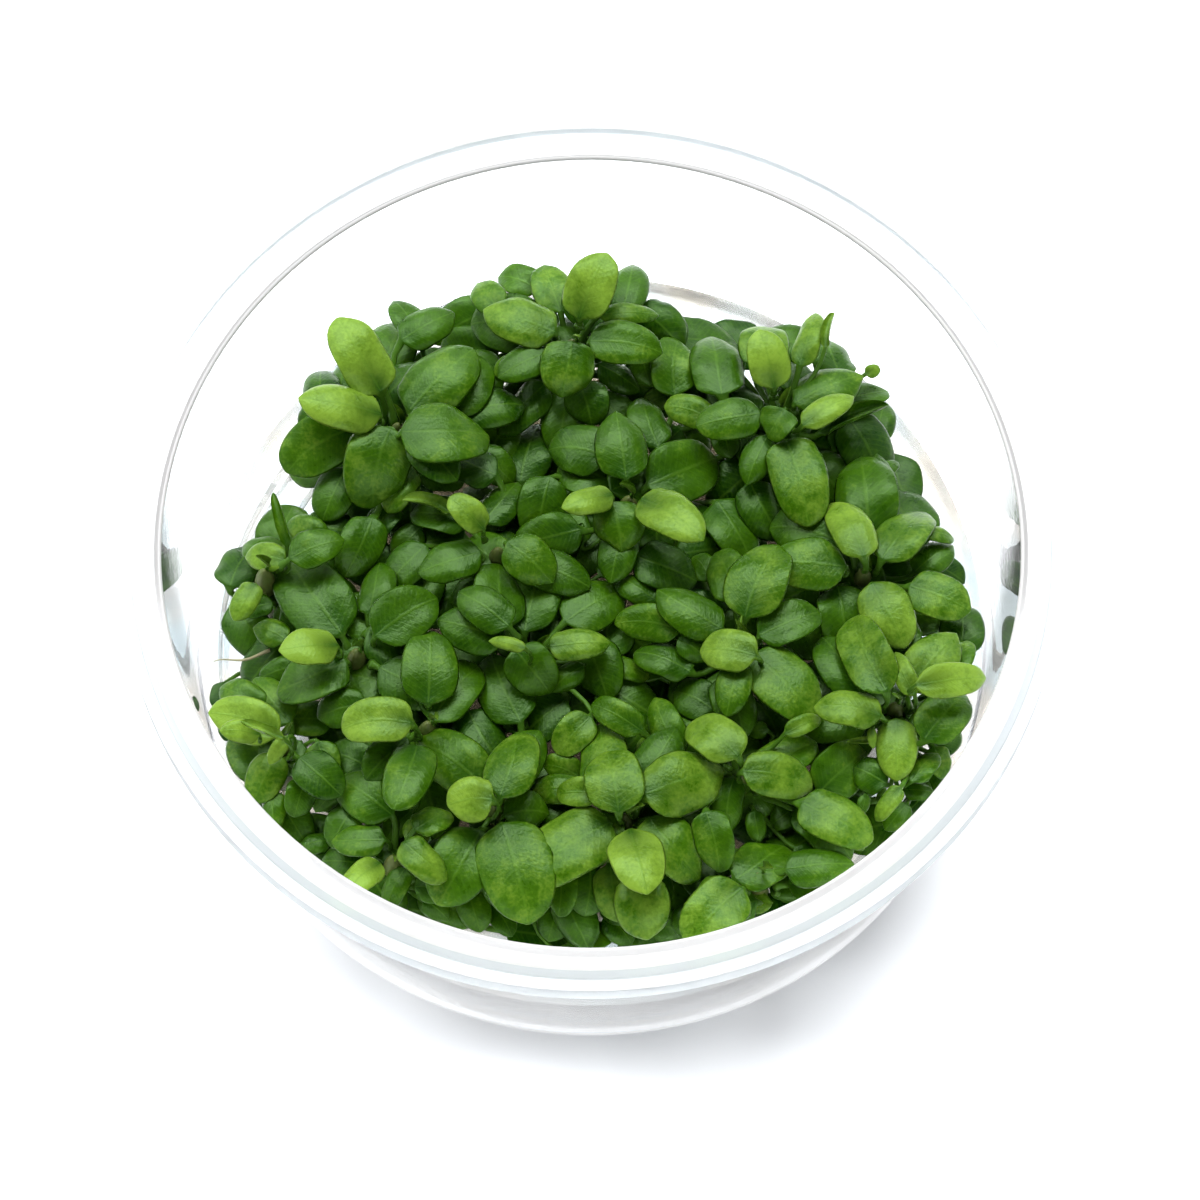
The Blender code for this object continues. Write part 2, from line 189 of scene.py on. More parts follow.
cupLow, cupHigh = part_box("cup")
gelLow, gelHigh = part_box("nutrient_gel")
cupForm = {
    "turns": 144,
    "rimWidth": 4.55,
    "wallTaper": 2.7,
    "wall": 1.0,
    "flange": 1.1,
    "bead": 0.42,
    "channel": 0.45,
    "skirtDrop": 3.2,
    "skirtWall": 1.0,
    "footHeight": 0.8,
    "footInset": 2.2,
    "footWidth": 2.4,
    "baseRound": 1.6,
    "roundSteps": 5,
}
gelForm = {
    "turns": 120,
    "meniscusRise": 1.4,
    "meniscusWidth": 2.2,
    "wallGap": 0.3,
    "rings": 9,
    "ripple": 0.16,
}
gelLevel = gelHigh.z - gelForm["meniscusRise"] * mm
rimRadius = cupHigh.x
cupHeight = cupHigh.z
mouthRadius = rimRadius - cupForm["rimWidth"] * mm
baseRadius = mouthRadius - cupForm["wallTaper"] * mm


def innerRadius(height):
    # the cup's inner radius at that height
    low = baseRadius - cupForm["wall"] * mm
    return low + (mouthRadius - low) * height / cupHeight


def roundCorner(centre, radius, start, end):
    # points on a rounded corner, from one angle to the other
    steps = cupForm["roundSteps"]
    angles = [math.radians(start + (end - start) * i / steps) for i in range(steps + 1)]
    return [(centre[0] + radius * math.cos(a), centre[1] + radius * math.sin(a)) for a in angles]


def turnProfile(name, profile, turns):
    # a circle drawn out ring by ring along (radius, height), then closed at both ends
    bpy.ops.object.select_all(action="DESELECT")
    radius, height = profile[0]
    bpy.ops.mesh.primitive_circle_add(
        vertices=turns, radius=radius, fill_type="NGON", location=(0, 0, height)
    )
    obj = bpy.context.object
    obj.name = name
    bpy.ops.object.transform_apply(location=True)
    bpy.ops.object.mode_set(mode="EDIT")
    for nextRadius, nextHeight in profile[1:]:
        bpy.ops.mesh.extrude_region_move(
            TRANSFORM_OT_translate={"value": (0, 0, nextHeight - height)}
        )
        share = nextRadius / radius
        bpy.ops.transform.resize(value=(share, share, 1), center_override=(0, 0, nextHeight))
        radius, height = nextRadius, nextHeight
    bpy.ops.mesh.select_all(action="SELECT")
    bpy.ops.mesh.normals_make_consistent(inside=False)
    bpy.ops.object.mode_set(mode="OBJECT")
    return obj


def makeClearPlastic():
    # moulded clear polypropylene: see-through, smooth, with a faint blue-grey in its depth
    material, tree = newMaterial("moulded clear polypropylene")
    coordinates = addNode(tree, "ShaderNodeTexCoord")
    flow = addNode(
        tree,
        "ShaderNodeTexNoise",
        {"Vector": coordinates.outputs["Object"], "Scale": 1 / (9 * mm), "Detail": 2.0},
    )
    ripple = addNode(
        tree, "ShaderNodeBump", {"Height": flow.outputs["Fac"], "Strength": 0.25, "Distance": 0.05 * mm}
    )
    shader = addNode(
        tree,
        "ShaderNodeBsdfPrincipled",
        {
            "Base Color": linearColour("#FCFDFE"),
            "Roughness": 0.0,
            "IOR": 1.49,
            "Transmission Weight": 1.0,
            "Normal": ripple.outputs[0],
        },
    )
    addNode(tree, "ShaderNodeOutputMaterial", {"Surface": shader.outputs[0]})
    return material


def makeMilkyPlastic(name, colour, clearness, roughness):
    # the same polypropylene where it is thick and frosted by the mould: milky white, part clear
    material, tree = newMaterial(name)
    coordinates = addNode(tree, "ShaderNodeTexCoord")
    frost = addNode(
        tree,
        "ShaderNodeTexNoise",
        {"Vector": coordinates.outputs["Object"], "Scale": 1 / (0.6 * mm), "Detail": 3.0},
    )
    grain = addNode(
        tree, "ShaderNodeBump", {"Height": frost.outputs["Fac"], "Strength": 0.2, "Distance": 0.03 * mm}
    )
    shader = addNode(
        tree,
        "ShaderNodeBsdfPrincipled",
        {
            "Base Color": linearColour(colour),
            "Roughness": roughness,
            "IOR": 1.49,
            "Transmission Weight": clearness,
            "Normal": grain.outputs[0],
        },
    )
    addNode(tree, "ShaderNodeOutputMaterial", {"Surface": shader.outputs[0]})
    return material


def buildCup():
    form = {key: value * mm for key, value in cupForm.items()}
    inner = form["baseRound"] - form["wall"] / 2
    floorTop = form["footHeight"] + form["wall"]
    footOut = baseRadius - form["footInset"]
    footIn = footOut - form["footWidth"]
    flangeLow = cupHeight - form["flange"]
    skirtIn = rimRadius - form["skirtWall"]
    skirtEnd = cupHeight - form["skirtDrop"]
    profile = [(footIn - form["footHeight"], form["footHeight"]), (footIn, 0), (footOut, 0)]
    profile += roundCorner(
        (baseRadius - form["baseRound"], form["footHeight"] + form["baseRound"]), form["baseRound"], -90, 0
    )
    profile += [(innerRadius(flangeLow) + form["wall"], flangeLow), (skirtIn, flangeLow)]
    profile += [(skirtIn, skirtEnd), (rimRadius, skirtEnd)]
    bead, channel = form["bead"], form["channel"]
    profile += roundCorner((rimRadius - bead, cupHeight - channel - bead), bead, 0, 120)
    profile += roundCorner((rimRadius - 2.6 * bead, cupHeight - channel - 0.1 * mm + bead * 0.3), bead * 0.6, 250, 200)
    profile += roundCorner((rimRadius - 2.6 * mm, cupHeight - 0.9 * mm), 0.9 * mm, 50, 90)
    lip = 0.35 * mm
    profile += roundCorner((mouthRadius + lip, cupHeight - lip), lip, 90, 180)
    profile += roundCorner(
        (innerRadius(floorTop) - inner, floorTop + inner), inner, 0, -90
    )
    cup = turnProfile("tissue_culture_cup", profile, cupForm["turns"])
    selectOnly(cup)
    bpy.ops.object.shade_smooth_by_angle(angle=math.radians(40))
    cup.data.materials.append(makeClearPlastic())
    cup.data.materials.append(makeMilkyPlastic("frosted polypropylene rim", "#FEFEFE", 0.6, 0.28))
    cup.data.materials.append(makeMilkyPlastic("hazy polypropylene wall", "#FEFEFE", 0.94, 0.0))
    # painted shade: the shoulder's channel and the skirt take a blue-grey that stands in for their shading
    cup.data.materials.append(makeMilkyPlastic("frosted polypropylene shoulder and skirt, painted shade", "#D3DBE1", 0.7, 0.3))
    cup.data.materials.append(makeMilkyPlastic("frosted polypropylene lip", "#FEFEFE", 0.1, 0.4))
    for face in cup.data.polygons:
        centre = face.center
        out = centre.xy.length
        skirt = out > rimRadius - 0.05 * mm and centre.z < cupHeight - channel - bead
        if out < mouthRadius + lip and centre.z > cupHeight - lip:
            face.material_index = 4
        # the channel and the skirt get the blue-grey of painted shade
        elif skirt or rimRadius - 2.0 * mm < out < rimRadius - 2 * bead and centre.z > cupHeight - 2 * bead - channel:
            face.material_index = 3
        elif centre.z > cupHeight - form["flange"] - 0.05 * mm:
            face.material_index = 1
        elif centre.z > form["footHeight"] and centre.xy.length > innerRadius(centre.z) + form["wall"] / 2:
            face.material_index = 2
    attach(cup, "root")
    # clear pieces let the lamps' light through
    cup.visible_shadow = False
    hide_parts("cup")
    print("cup done", len(cup.data.polygons))


def makeGelMaterial(name, clearness, creamy, watery):
    # agar nutrient gel: wet, almost clear, with creamy and watery streaks, and a dull brown under the clump that is
    # partly the brown of its roots and partly painted shade of the leaves over it
    material, tree = newMaterial(name)
    coordinates = addNode(tree, "ShaderNodeTexCoord")
    flat = addNode(
        tree, "ShaderNodeMapping", {"Vector": coordinates.outputs["Object"], "Scale": (1.0, 1.0, 5.0)}
    )
    cloud = addNode(
        tree,
        "ShaderNodeTexNoise",
        {"Vector": flat.outputs[0], "Scale": 1 / (11 * mm), "Detail": 3.0},
    )
    streak = addNode(
        tree, "ShaderNodeMapRange", {"Value": cloud.outputs["Fac"], "From Min": 0.42, "From Max": 0.58}
    )
    tint = addNode(
        tree,
        "ShaderNodeMix",
        {0: streak.outputs[0], 6: linearColour(creamy), 7: linearColour(watery)},
        data_type="RGBA",
    )
    level = addNode(
        tree, "ShaderNodeMapping", {"Vector": coordinates.outputs["Object"], "Scale": (1.0, 1.0, 0.0)}
    )
    out = addNode(tree, "ShaderNodeVectorMath", {0: level.outputs[0]}, operation="LENGTH")
    uneven = addNode(
        tree, "ShaderNodeMath", {0: cloud.outputs["Fac"], 1: 14 * mm, 2: out.outputs["Value"]}, operation="MULTIPLY_ADD"
    )
    # painted shade: under the clump the gel is darkened to a dull brown, partly the brown of roots and partly the shade
    # of the leaves
    rootsAndShade = addNode(
        tree,
        "ShaderNodeMapRange",
        {"Value": uneven.outputs[0], "From Min": 37 * mm, "From Max": 43 * mm, "To Min": 1.0, "To Max": 0.0},
    )
    tint = addNode(
        tree,
        "ShaderNodeMix",
        {0: rootsAndShade.outputs[0], 6: tint.outputs[2], 7: linearColour("#5E5644")},
        data_type="RGBA",
    )
    wet = addNode(
        tree,
        "ShaderNodeTexNoise",
        {"Vector": coordinates.outputs["Object"], "Scale": 1 / (5 * mm), "Detail": 2.0},
    )
    ripple = addNode(
        tree, "ShaderNodeBump", {"Height": wet.outputs["Fac"], "Strength": 0.25, "Distance": 0.2 * mm}
    )
    shader = addNode(
        tree,
        "ShaderNodeBsdfPrincipled",
        {
            "Base Color": tint.outputs[2],
            "Roughness": 0.0,
            "IOR": 1.34,
            "Transmission Weight": clearness,
            "Normal": ripple.outputs[0],
        },
    )
    addNode(tree, "ShaderNodeOutputMaterial", {"Surface": shader.outputs[0]})
    return material


def gelTop(radius):
    # height of the gel: level, with a meniscus that climbs the wall
    edge = innerRadius(gelLevel) - gelForm["wallGap"] * mm
    share = (radius - edge) / (gelForm["meniscusWidth"] * mm) + 1
    return gelLevel + gelForm["meniscusRise"] * mm * max(0.0, min(1.0, share)) ** 2


def buildGel():
    bottom = gelLow.z
    edge = innerRadius(gelHigh.z) - gelForm["wallGap"] * mm
    low = innerRadius(bottom) - gelForm["wallGap"] * mm
    round_ = cupForm["baseRound"] * mm
    profile = roundCorner((low - round_, bottom + round_), round_, -90, 0)
    width = gelForm["meniscusWidth"] * mm
    profile += [(edge - width * share, gelTop(edge - width * share)) for share in (0, 0.15, 0.35, 0.6, 1)]
    start = edge - width
    rings = gelForm["rings"]
    profile += [(start * (1 - i / rings), gelLevel) for i in range(1, rings)]
    gel = turnProfile("nutrient_gel_slab", profile, gelForm["turns"])
    for vertex in gel.data.vertices:
        if vertex.co.z > gelLevel - 0.01 * mm and vertex.co.xy.length < start:
            x, y = vertex.co.x / mm, vertex.co.y / mm
            wave = math.sin(0.31 * x + 0.2 * y) + math.sin(0.17 * x - 0.37 * y + 1.3)
            vertex.co.z += gelForm["ripple"] * mm * wave * 0.5
    selectOnly(gel)
    bpy.ops.object.shade_smooth_by_angle(angle=math.radians(40))
    gel.data.materials.append(makeGelMaterial("agar nutrient gel, clear depth", 1.0, "#FBEBD8", "#C3DADF"))
    gel.data.materials.append(makeGelMaterial("agar nutrient gel, cloudy top", 0.75, "#FBF9F3", "#EEF3F5"))
    for face in gel.data.polygons:
        face.material_index = int(face.normal.z > 0.3)
    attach(gel, "root")
    gel.visible_shadow = False
    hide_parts("nutrient_gel")
    print("gel done")


# leaves

leafForm = {
    "sides": 16,
    "petioleRings": 6,
    "bladeRings": 16,
    "petioleRadius": 0.36,
    "sheathRadius": 0.66,
    "petioleFlatness": 0.8,
    "petiolePull": 0.42,
    "rootSlope": 64,
    "footKink": 32,
    "outline": (
        (0.0, 0.12), (0.04, 0.42), (0.1, 0.7), (0.18, 0.89), (0.28, 0.98), (0.38, 1.0), (0.5, 0.98),
        (0.62, 0.92), (0.73, 0.81), (0.82, 0.67), (0.89, 0.51), (0.95, 0.29), (1.0, 0.03),
    ),
    "thickness": 0.13,
    "rib": 0.14,
    "groove": 0.16,
    "tipPoint": 0.05,
}

# tone of each modelled leaf, from 0, old and dark, to 1, new and yellow-green
largeTones = {
    1: (0.95, 0.92, 0.5),
    2: (0.85, 0.62, 0.5, 0.6),
    3: (0.95, 0.55, 0.45, 0.55),
    4: (0.42, 0.85, 0.95),
    5: (0.4, 0.85),
    6: (0.5, 0.6, 0.75),
    7: (0.98, 0.3, 0.35),
    8: (0.68, 0.35),
    9: (0.45, 0.4, 0.55),
    10: (0.45, 0.5),
    11: (0.5, 0.5),
    12: (0.65, 0.75),
    13: (0.95, 0.62),
    14: (0.6,),
    15: (0.95,),
    16: (0.95,),
    17: (0.75,),
    18: (0.65,),
}

# leaves between the modelled ones, in millimetres and degrees:
# x, y and height of the blade's foot, heading, length, width, tone
measuredLeaves = (
    (-32.7, -18.2, 27.6, 159, 4.7, 1.3, 0.85), (34.6, -12.7, 27.6, 14, 7.7, 3.4, 0.95),
    (-32.3, -17.5, 26.6, -125, 3.2, 1.6, 0.85), (-7.1, -7.5, 26.6, 163, 3.8, 1.6, 0.9),
    (-19.2, -16.2, 26.6, -177, 7.1, 4.5, 0.9), (17.6, -8.4, 26.6, 167, 6.0, 4.5, 0.85),
    (42.0, -10.5, 26.6, 72, 5.5, 1.2, 0.8), (34.5, -12.9, 26.6, 110, 5.2, 2.4, 0.8),
    (-10.5, -24.9, 26.6, -175, 4.4, 4.9, 0.85), (22.8, 26.4, 25.6, 75, 6.7, 3.0, 0.7),
    (25.6, 28.3, 25.6, 76, 4.1, 1.3, 0.75), (15.6, -19.6, 25.6, 140, 7.0, 4.8, 0.75),
    (2.9, -25.9, 25.6, 100, 7.5, 5.4, 0.65), (5.7, -23.9, 25.6, 25, 9.0, 6.5, 0.65),
    (29.4, 3.6, 25.6, 122, 8.2, 4.5, 0.8), (31.5, -12.4, 25.6, 103, 10.2, 4.8, 0.6),
    (30.8, -14.9, 25.6, 172, 6.7, 4.1, 0.75), (-21.9, 19.2, 25.1, -103, 8.3, 6.5, 0.5),
    (-9.7, -24.0, 25.1, 79, 8.9, 5.4, 0.55), (-20.6, 18.3, 24.6, 5, 9.5, 6.8, 0.45),
    (-3.2, 35.2, 24.6, 101, 8.7, 4.1, 0.6), (-2.1, 29.6, 24.6, -101, 5.7, 6.2, 0.5),
    (23.1, 19.4, 24.6, 34, 6.3, 3.2, 0.85), (21.0, 21.3, 24.6, -122, 3.3, 4.1, 0.5),
    (-9.0, 5.7, 24.6, -42, 6.1, 4.8, 0.5), (-11.3, -22.2, 24.6, 127, 9.4, 5.6, 0.5),
    (2.3, 10.4, 24.6, -80, 5.1, 6.0, 0.45), (16.6, -3.0, 24.6, 67, 8.8, 5.9, 0.55),
    (15.9, -5.7, 24.6, 84, 2.7, 0.6, 0.7), (31.4, 3.7, 24.6, 53, 8.4, 5.6, 0.6),
    (35.6, -17.4, 24.6, 30, 6.8, 4.5, 0.5), (30.4, -16.7, 24.6, -177, 2.9, 1.0, 0.8),
    (30.0, -15.9, 24.6, -86, 2.0, 0.9, 0.7), (16.2, -20.9, 24.6, -9, 7.2, 4.8, 0.65),
    (6.3, -25.8, 24.6, -49, 8.1, 5.8, 0.6), (-19.7, -29.2, 24.6, -40, 5.7, 4.1, 0.65),
    (-18.7, -27.5, 24.6, 34, 4.5, 3.4, 0.55), (-23.2, 25.8, 23.6, 129, 6.7, 3.2, 0.5),
    (0.9, 33.5, 23.6, 5, 6.3, 2.4, 0.6), (19.1, 27.4, 23.6, 88, 5.5, 4.8, 0.6),
    (30.1, 26.6, 23.6, 21, 1.7, 1.3, 0.6), (-33.5, -16.3, 23.6, 165, 7.6, 4.5, 0.9),
    (-17.0, -14.1, 23.6, 54, 7.9, 4.8, 0.45), (-8.2, -6.4, 23.6, -48, 5.6, 4.7, 0.35),
    (9.6, -3.6, 23.6, 171, 6.7, 3.9, 0.5), (5.3, -15.8, 23.6, 148, 5.9, 3.0, 0.5),
    (9.5, -18.2, 23.6, 111, 7.2, 3.7, 0.45), (6.8, -20.9, 23.6, 95, 6.1, 3.0, 0.55),
    (0.9, -22.8, 23.6, 91, 8.2, 4.8, 0.5), (0.9, -23.3, 23.6, 174, 4.5, 2.8, 0.7),
    (35.1, 7.6, 23.6, -5, 4.3, 2.2, 0.55), (38.5, -9.5, 23.6, 68, 5.1, 2.8, 0.5),
    (34.6, -16.4, 23.6, 62, 5.1, 2.7, 0.4), (41.2, -11.1, 23.6, -56, 2.2, 1.0, 0.4),
    (18.0, -21.0, 23.6, 38, 7.3, 4.5, 0.5), (20.7, -16.4, 23.6, 28, 4.3, 1.9, 0.6),
    (31.4, -21.4, 23.6, 147, 3.8, 3.7, 0.3), (34.2, -21.4, 23.6, 51, 4.3, 2.8, 0.55),
    (15.3, -20.5, 23.6, -98, 6.5, 3.7, 0.4), (32.9, -22.6, 23.6, -130, 4.1, 2.2, 0.7),
    (31.3, -22.0, 23.6, 40, 3.6, 1.7, 0.65), (-12.2, -27.1, 23.6, -120, 5.5, 4.5, 0.45),
    (1.4, -25.1, 23.6, -95, 4.7, 3.9, 0.5), (12.2, -25.4, 23.6, -77, 6.0, 3.9, 0.5),
    (5.2, -32.6, 23.6, -83, 6.3, 5.8, 0.7), (-18.1, -28.8, 23.6, 113, 3.7, 2.4, 0.6),
    (-23.7, 25.5, 22.6, 130, 8.8, 4.8, 0.45), (-26.4, 20.0, 22.6, -146, 7.9, 4.8, 0.5),
    (-10.1, 34.6, 22.6, 121, 4.8, 2.4, 0.5), (3.4, 34.6, 22.6, 80, 6.6, 3.9, 0.35),
    (14.3, 24.3, 22.6, 97, 8.2, 4.0, 0.35), (30.3, 8.1, 22.6, 94, 9.6, 5.6, 0.4),
    (-33.0, 6.2, 22.6, 105, 5.9, 1.4, 0.5), (-33.4, 5.5, 22.6, 157, 4.7, 2.8, 0.5),
    (-26.5, -7.4, 22.6, -156, 7.4, 5.4, 0.4), (-35.3, -12.8, 22.6, 149, 5.1, 2.2, 0.5),
    (-33.7, -18.0, 22.6, -136, 5.4, 3.0, 0.6), (-24.2, -12.5, 22.6, -173, 5.2, 4.1, 0.35),
    (-9.3, -3.5, 22.6, 95, 7.6, 3.0, 0.35), (-7.9, -8.9, 22.6, -70, 10.5, 4.1, 0.45),
    (-2.8, -2.5, 22.6, 35, 7.5, 4.9, 0.4), (15.5, -0.4, 22.6, 108, 6.8, 3.0, 0.45),
    (9.4, -4.9, 22.6, -32, 3.6, 2.7, 0.35), (10.6, -8.1, 22.6, 157, 6.2, 3.9, 0.3),
    (14.4, -9.1, 22.6, -74, 6.7, 3.8, 0.35), (-0.9, -7.7, 22.6, -142, 4.1, 2.6, 0.4),
    (-2.0, -15.9, 22.6, 46, 8.6, 4.5, 0.45), (-0.1, -13.9, 22.6, -131, 4.9, 1.9, 0.6),
    (27.5, 6.3, 22.6, 159, 8.4, 3.2, 0.35), (35.1, 3.4, 22.6, 38, 5.1, 3.8, 0.4),
    (26.7, 1.8, 22.6, -87, 7.0, 4.5, 0.35), (28.9, -11.4, 22.6, 119, 7.8, 5.2, 0.35),
    (34.3, -6.0, 22.6, 112, 5.4, 3.2, 0.5), (36.8, -16.9, 22.6, -43, 3.1, 2.8, 0.5),
    (24.4, -22.0, 22.6, 52, 6.9, 4.1, 0.45), (15.4, -32.4, 22.6, 42, 7.1, 5.4, 0.5),
    (-9.2, -25.1, 22.6, 6, 4.7, 4.6, 0.4), (-33.7, -22.0, 22.6, -98, 3.9, 2.4, 0.5),
    (-30.5, -21.1, 22.6, -106, 3.8, 3.0, 0.35), (-21.2, -25.1, 22.6, 141, 7.4, 4.1, 0.45),
    (-21.9, -27.9, 22.6, 177, 5.3, 3.2, 0.5), (-19.6, 15.9, 21.6, -120, 5.2, 3.8, 0.55),
    (-15.5, 22.7, 21.6, 63, 7.1, 3.8, 0.35), (-5.1, 32.6, 21.6, 165, 8.4, 4.8, 0.3),
    (-5.9, 38.4, 21.6, 132, 5.0, 2.2, 0.45), (-6.2, 28.4, 21.6, -167, 4.3, 3.0, 0.5),
    (1.8, 17.1, 21.6, 166, 6.5, 5.2, 0.3), (-15.4, 10.7, 21.6, 167, 5.1, 1.7, 0.7),
    (13.0, 21.7, 21.6, 159, 5.0, 3.0, 0.65), (27.3, 24.4, 21.6, 15, 5.1, 2.4, 0.35),
    (25.1, 20.1, 21.6, 21, 7.7, 2.4, 0.45), (6.2, 13.8, 21.6, 33, 8.9, 5.2, 0.35),
    (-33.2, 4.3, 21.6, 164, 4.6, 3.2, 0.75), (-29.3, -16.3, 21.6, -80, 4.6, 3.4, 0.5),
    (-7.6, -13.8, 21.6, 110, 8.6, 3.9, 0.3), (-7.2, -3.5, 21.6, 74, 8.2, 4.5, 0.3),
    (13.1, -12.1, 21.6, 148, 4.9, 4.1, 0.3), (-1.2, -21.8, 21.6, 174, 5.1, 2.6, 0.5),
    (-1.2, -20.2, 21.6, 159, 4.0, 2.2, 0.55), (36.8, -19.3, 21.6, -31, 2.6, 1.7, 0.45),
    (29.3, -22.4, 21.6, -105, 2.0, 1.0, 0.5), (16.4, -28.7, 21.6, -148, 3.6, 1.7, 0.4),
    (13.9, -31.8, 21.6, -106, 4.6, 3.5, 0.55), (2.0, -30.4, 21.6, -82, 5.6, 3.2, 0.6),
    (-3.3, -30.7, 21.6, -92, 4.8, 3.4, 0.4), (-0.1, -30.4, 21.6, -96, 4.8, 3.9, 0.35),
    (-27.3, -21.8, 21.6, -137, 2.8, 2.2, 0.4), (-25.7, -24.1, 21.6, -120, 4.2, 3.4, 0.3),
    (-19.3, -24.1, 21.6, -129, 3.8, 2.8, 0.4), (-19.8, -30.9, 21.6, -115, 4.1, 3.0, 0.45),
    (-18.7, -32.6, 21.6, 2, 5.4, 2.8, 0.4), (-18.9, 31.9, 20.6, 122, 5.4, 2.7, 0.35),
    (-20.9, 31.3, 20.6, 33, 6.3, 2.7, 0.4), (-27.0, 16.1, 20.6, -112, 5.8, 4.3, 0.3),
    (-18.8, 15.9, 20.6, -2, 4.9, 2.4, 0.35), (-12.0, 24.3, 20.6, 94, 7.0, 4.1, 0.3),
    (-1.3, 26.4, 20.6, -74, 4.7, 4.8, 0.25), (-4.5, 15.2, 20.6, -101, 7.0, 4.8, 0.35),
    (5.4, 30.7, 20.6, -74, 3.9, 3.0, 0.35), (9.2, 25.2, 20.6, 87, 6.5, 3.4, 0.5),
    (14.3, 21.2, 20.6, -75, 3.4, 3.0, 0.35), (16.9, 20.7, 20.6, -73, 4.8, 2.8, 0.35),
    (-29.0, 7.2, 20.6, 147, 5.0, 3.0, 0.55), (-33.0, -4.0, 20.6, 156, 3.7, 3.2, 0.55),
    (-32.4, -13.6, 20.6, 125, 6.3, 3.4, 0.5), (-28.1, -12.9, 20.6, 174, 4.9, 3.9, 0.45),
    (-31.3, -15.9, 20.6, -115, 3.8, 3.4, 0.3), (-23.5, -19.1, 20.6, 152, 5.5, 3.0, 0.2),
    (-21.0, -9.9, 20.6, 160, 6.5, 3.0, 0.4), (-21.1, -10.1, 20.6, 113, 6.5, 3.2, 0.35),
    (-23.9, 10.2, 20.6, -115, 6.7, 4.5, 0.4), (-11.0, 3.0, 20.6, -155, 4.8, 2.8, 0.25),
    (-7.9, -14.7, 20.6, 107, 3.7, 2.4, 0.4), (7.0, 0.4, 20.6, 144, 5.1, 2.4, 0.35),
    (12.9, 3.0, 20.6, 120, 3.8, 2.2, 0.5), (2.2, -6.8, 20.6, -12, 4.2, 2.7, 0.5),
    (19.0, -14.6, 20.6, -179, 2.4, 1.3, 0.5), (26.7, -19.7, 20.6, -10, 4.4, 2.8, 0.25),
    (33.6, -21.4, 20.6, -4, 3.0, 2.2, 0.3), (33.7, -23.1, 20.6, -131, 3.4, 2.4, 0.4),
    (22.3, -22.6, 20.6, -46, 7.6, 5.4, 0.35), (27.6, -26.9, 20.6, -41, 1.9, 1.5, 0.5),
    (17.5, -23.9, 20.6, -80, 3.1, 1.5, 0.4), (-24.6, -29.5, 20.6, 172, 4.2, 1.9, 0.3),
    (-13.4, -31.7, 20.6, -72, 5.0, 2.4, 0.45), (-11.3, -30.0, 20.6, -62, 4.7, 3.0, 0.35),
    (-27.1, 24.4, 19.6, -160, 5.3, 3.8, 0.3), (-5.7, 32.2, 19.6, 170, 5.9, 1.4, 0.2),
    (-5.1, 26.9, 19.6, -136, 6.9, 4.5, 0.3), (-12.4, 19.0, 19.6, -41, 5.0, 2.8, 0.35),
    (0.9, 29.3, 19.6, -29, 5.0, 3.2, 0.2), (31.6, 15.9, 19.6, 42, 2.7, 1.7, 0.4),
    (-34.7, 0.7, 19.6, -166, 3.2, 1.7, 0.25), (-32.2, 1.1, 19.6, -137, 3.0, 2.7, 0.3),
    (-31.5, -6.5, 19.6, -164, 4.3, 2.8, 0.3), (-36.7, -17.0, 19.6, -153, 3.2, 2.6, 0.3),
    (-9.8, -14.9, 19.6, 127, 4.6, 2.8, 0.3), (-1.2, 8.2, 19.6, 104, 4.5, 2.6, 0.35),
    (21.9, -22.8, 19.6, -146, 3.2, 2.8, 0.35), (21.8, -27.7, 19.6, -47, 4.7, 2.8, 0.2),
    (15.3, -34.1, 19.6, 7, 3.9, 2.8, 0.55), (-27.9, -26.8, 19.6, -167, 3.3, 2.4, 0.3),
    (-17.7, -33.6, 19.6, -38, 3.1, 2.6, 0.35), (-7.8, 16.1, 18.6, 74, 7.9, 3.8, 0.25),
    (9.8, 21.9, 18.6, -135, 3.9, 3.2, 0.3), (26.8, 19.5, 18.6, 52, 4.6, 2.8, 0.2),
    (-21.5, 12.8, 18.6, -125, 4.4, 3.2, 0.2), (-18.7, 10.1, 18.6, -130, 4.2, 3.0, 0.3),
    (-16.3, -17.8, 18.6, -90, 3.5, 3.8, 0.15), (-3.2, 4.8, 18.6, 68, 5.8, 1.9, 0.3),
    (0.9, 4.4, 18.6, 39, 3.5, 1.9, 0.3), (7.1, 7.5, 18.6, -161, 3.7, 3.4, 0.35),
    (7.5, 9.8, 18.6, -52, 3.5, 2.7, 0.3), (10.0, -33.8, 18.6, -100, 3.1, 1.8, 0.2),
    (-4.8, -30.0, 18.6, -109, 3.6, 2.2, 0.2), (8.5, 26.6, 17.6, -159, 2.7, 2.4, 0.6),
    (19.1, -31.1, 17.6, -5, 4.7, 1.7, 0.35), (-3.3, -33.4, 17.6, -109, 3.9, 3.8, 0.3),
    (-2.2, -37.9, 17.6, 26, 4.9, 2.2, 0.4), (1.5, -34.5, 17.6, -48, 4.0, 3.2, 0.25),
    (6.3, -35.7, 17.6, -9, 4.4, 2.2, 0.3), (-10.6, -33.4, 17.6, -58, 3.8, 2.4, 0.25),
    (20.8, 16.0, 15.6, 144, 2.7, 1.9, 0.3), (22.4, 14.8, 15.6, -146, 3.3, 2.4, 0.3),
    (15.0, 13.0, 15.6, -151, 2.5, 2.4, 0.6), (18.5, 7.6, 15.6, 111, 4.5, 2.6, 0.3),
    (17.0, 15.8, 14.6, -33, 2.3, 1.9, 0.35), (15.9, 17.6, 14.6, -25, 2.1, 1.9, 0.45),
)

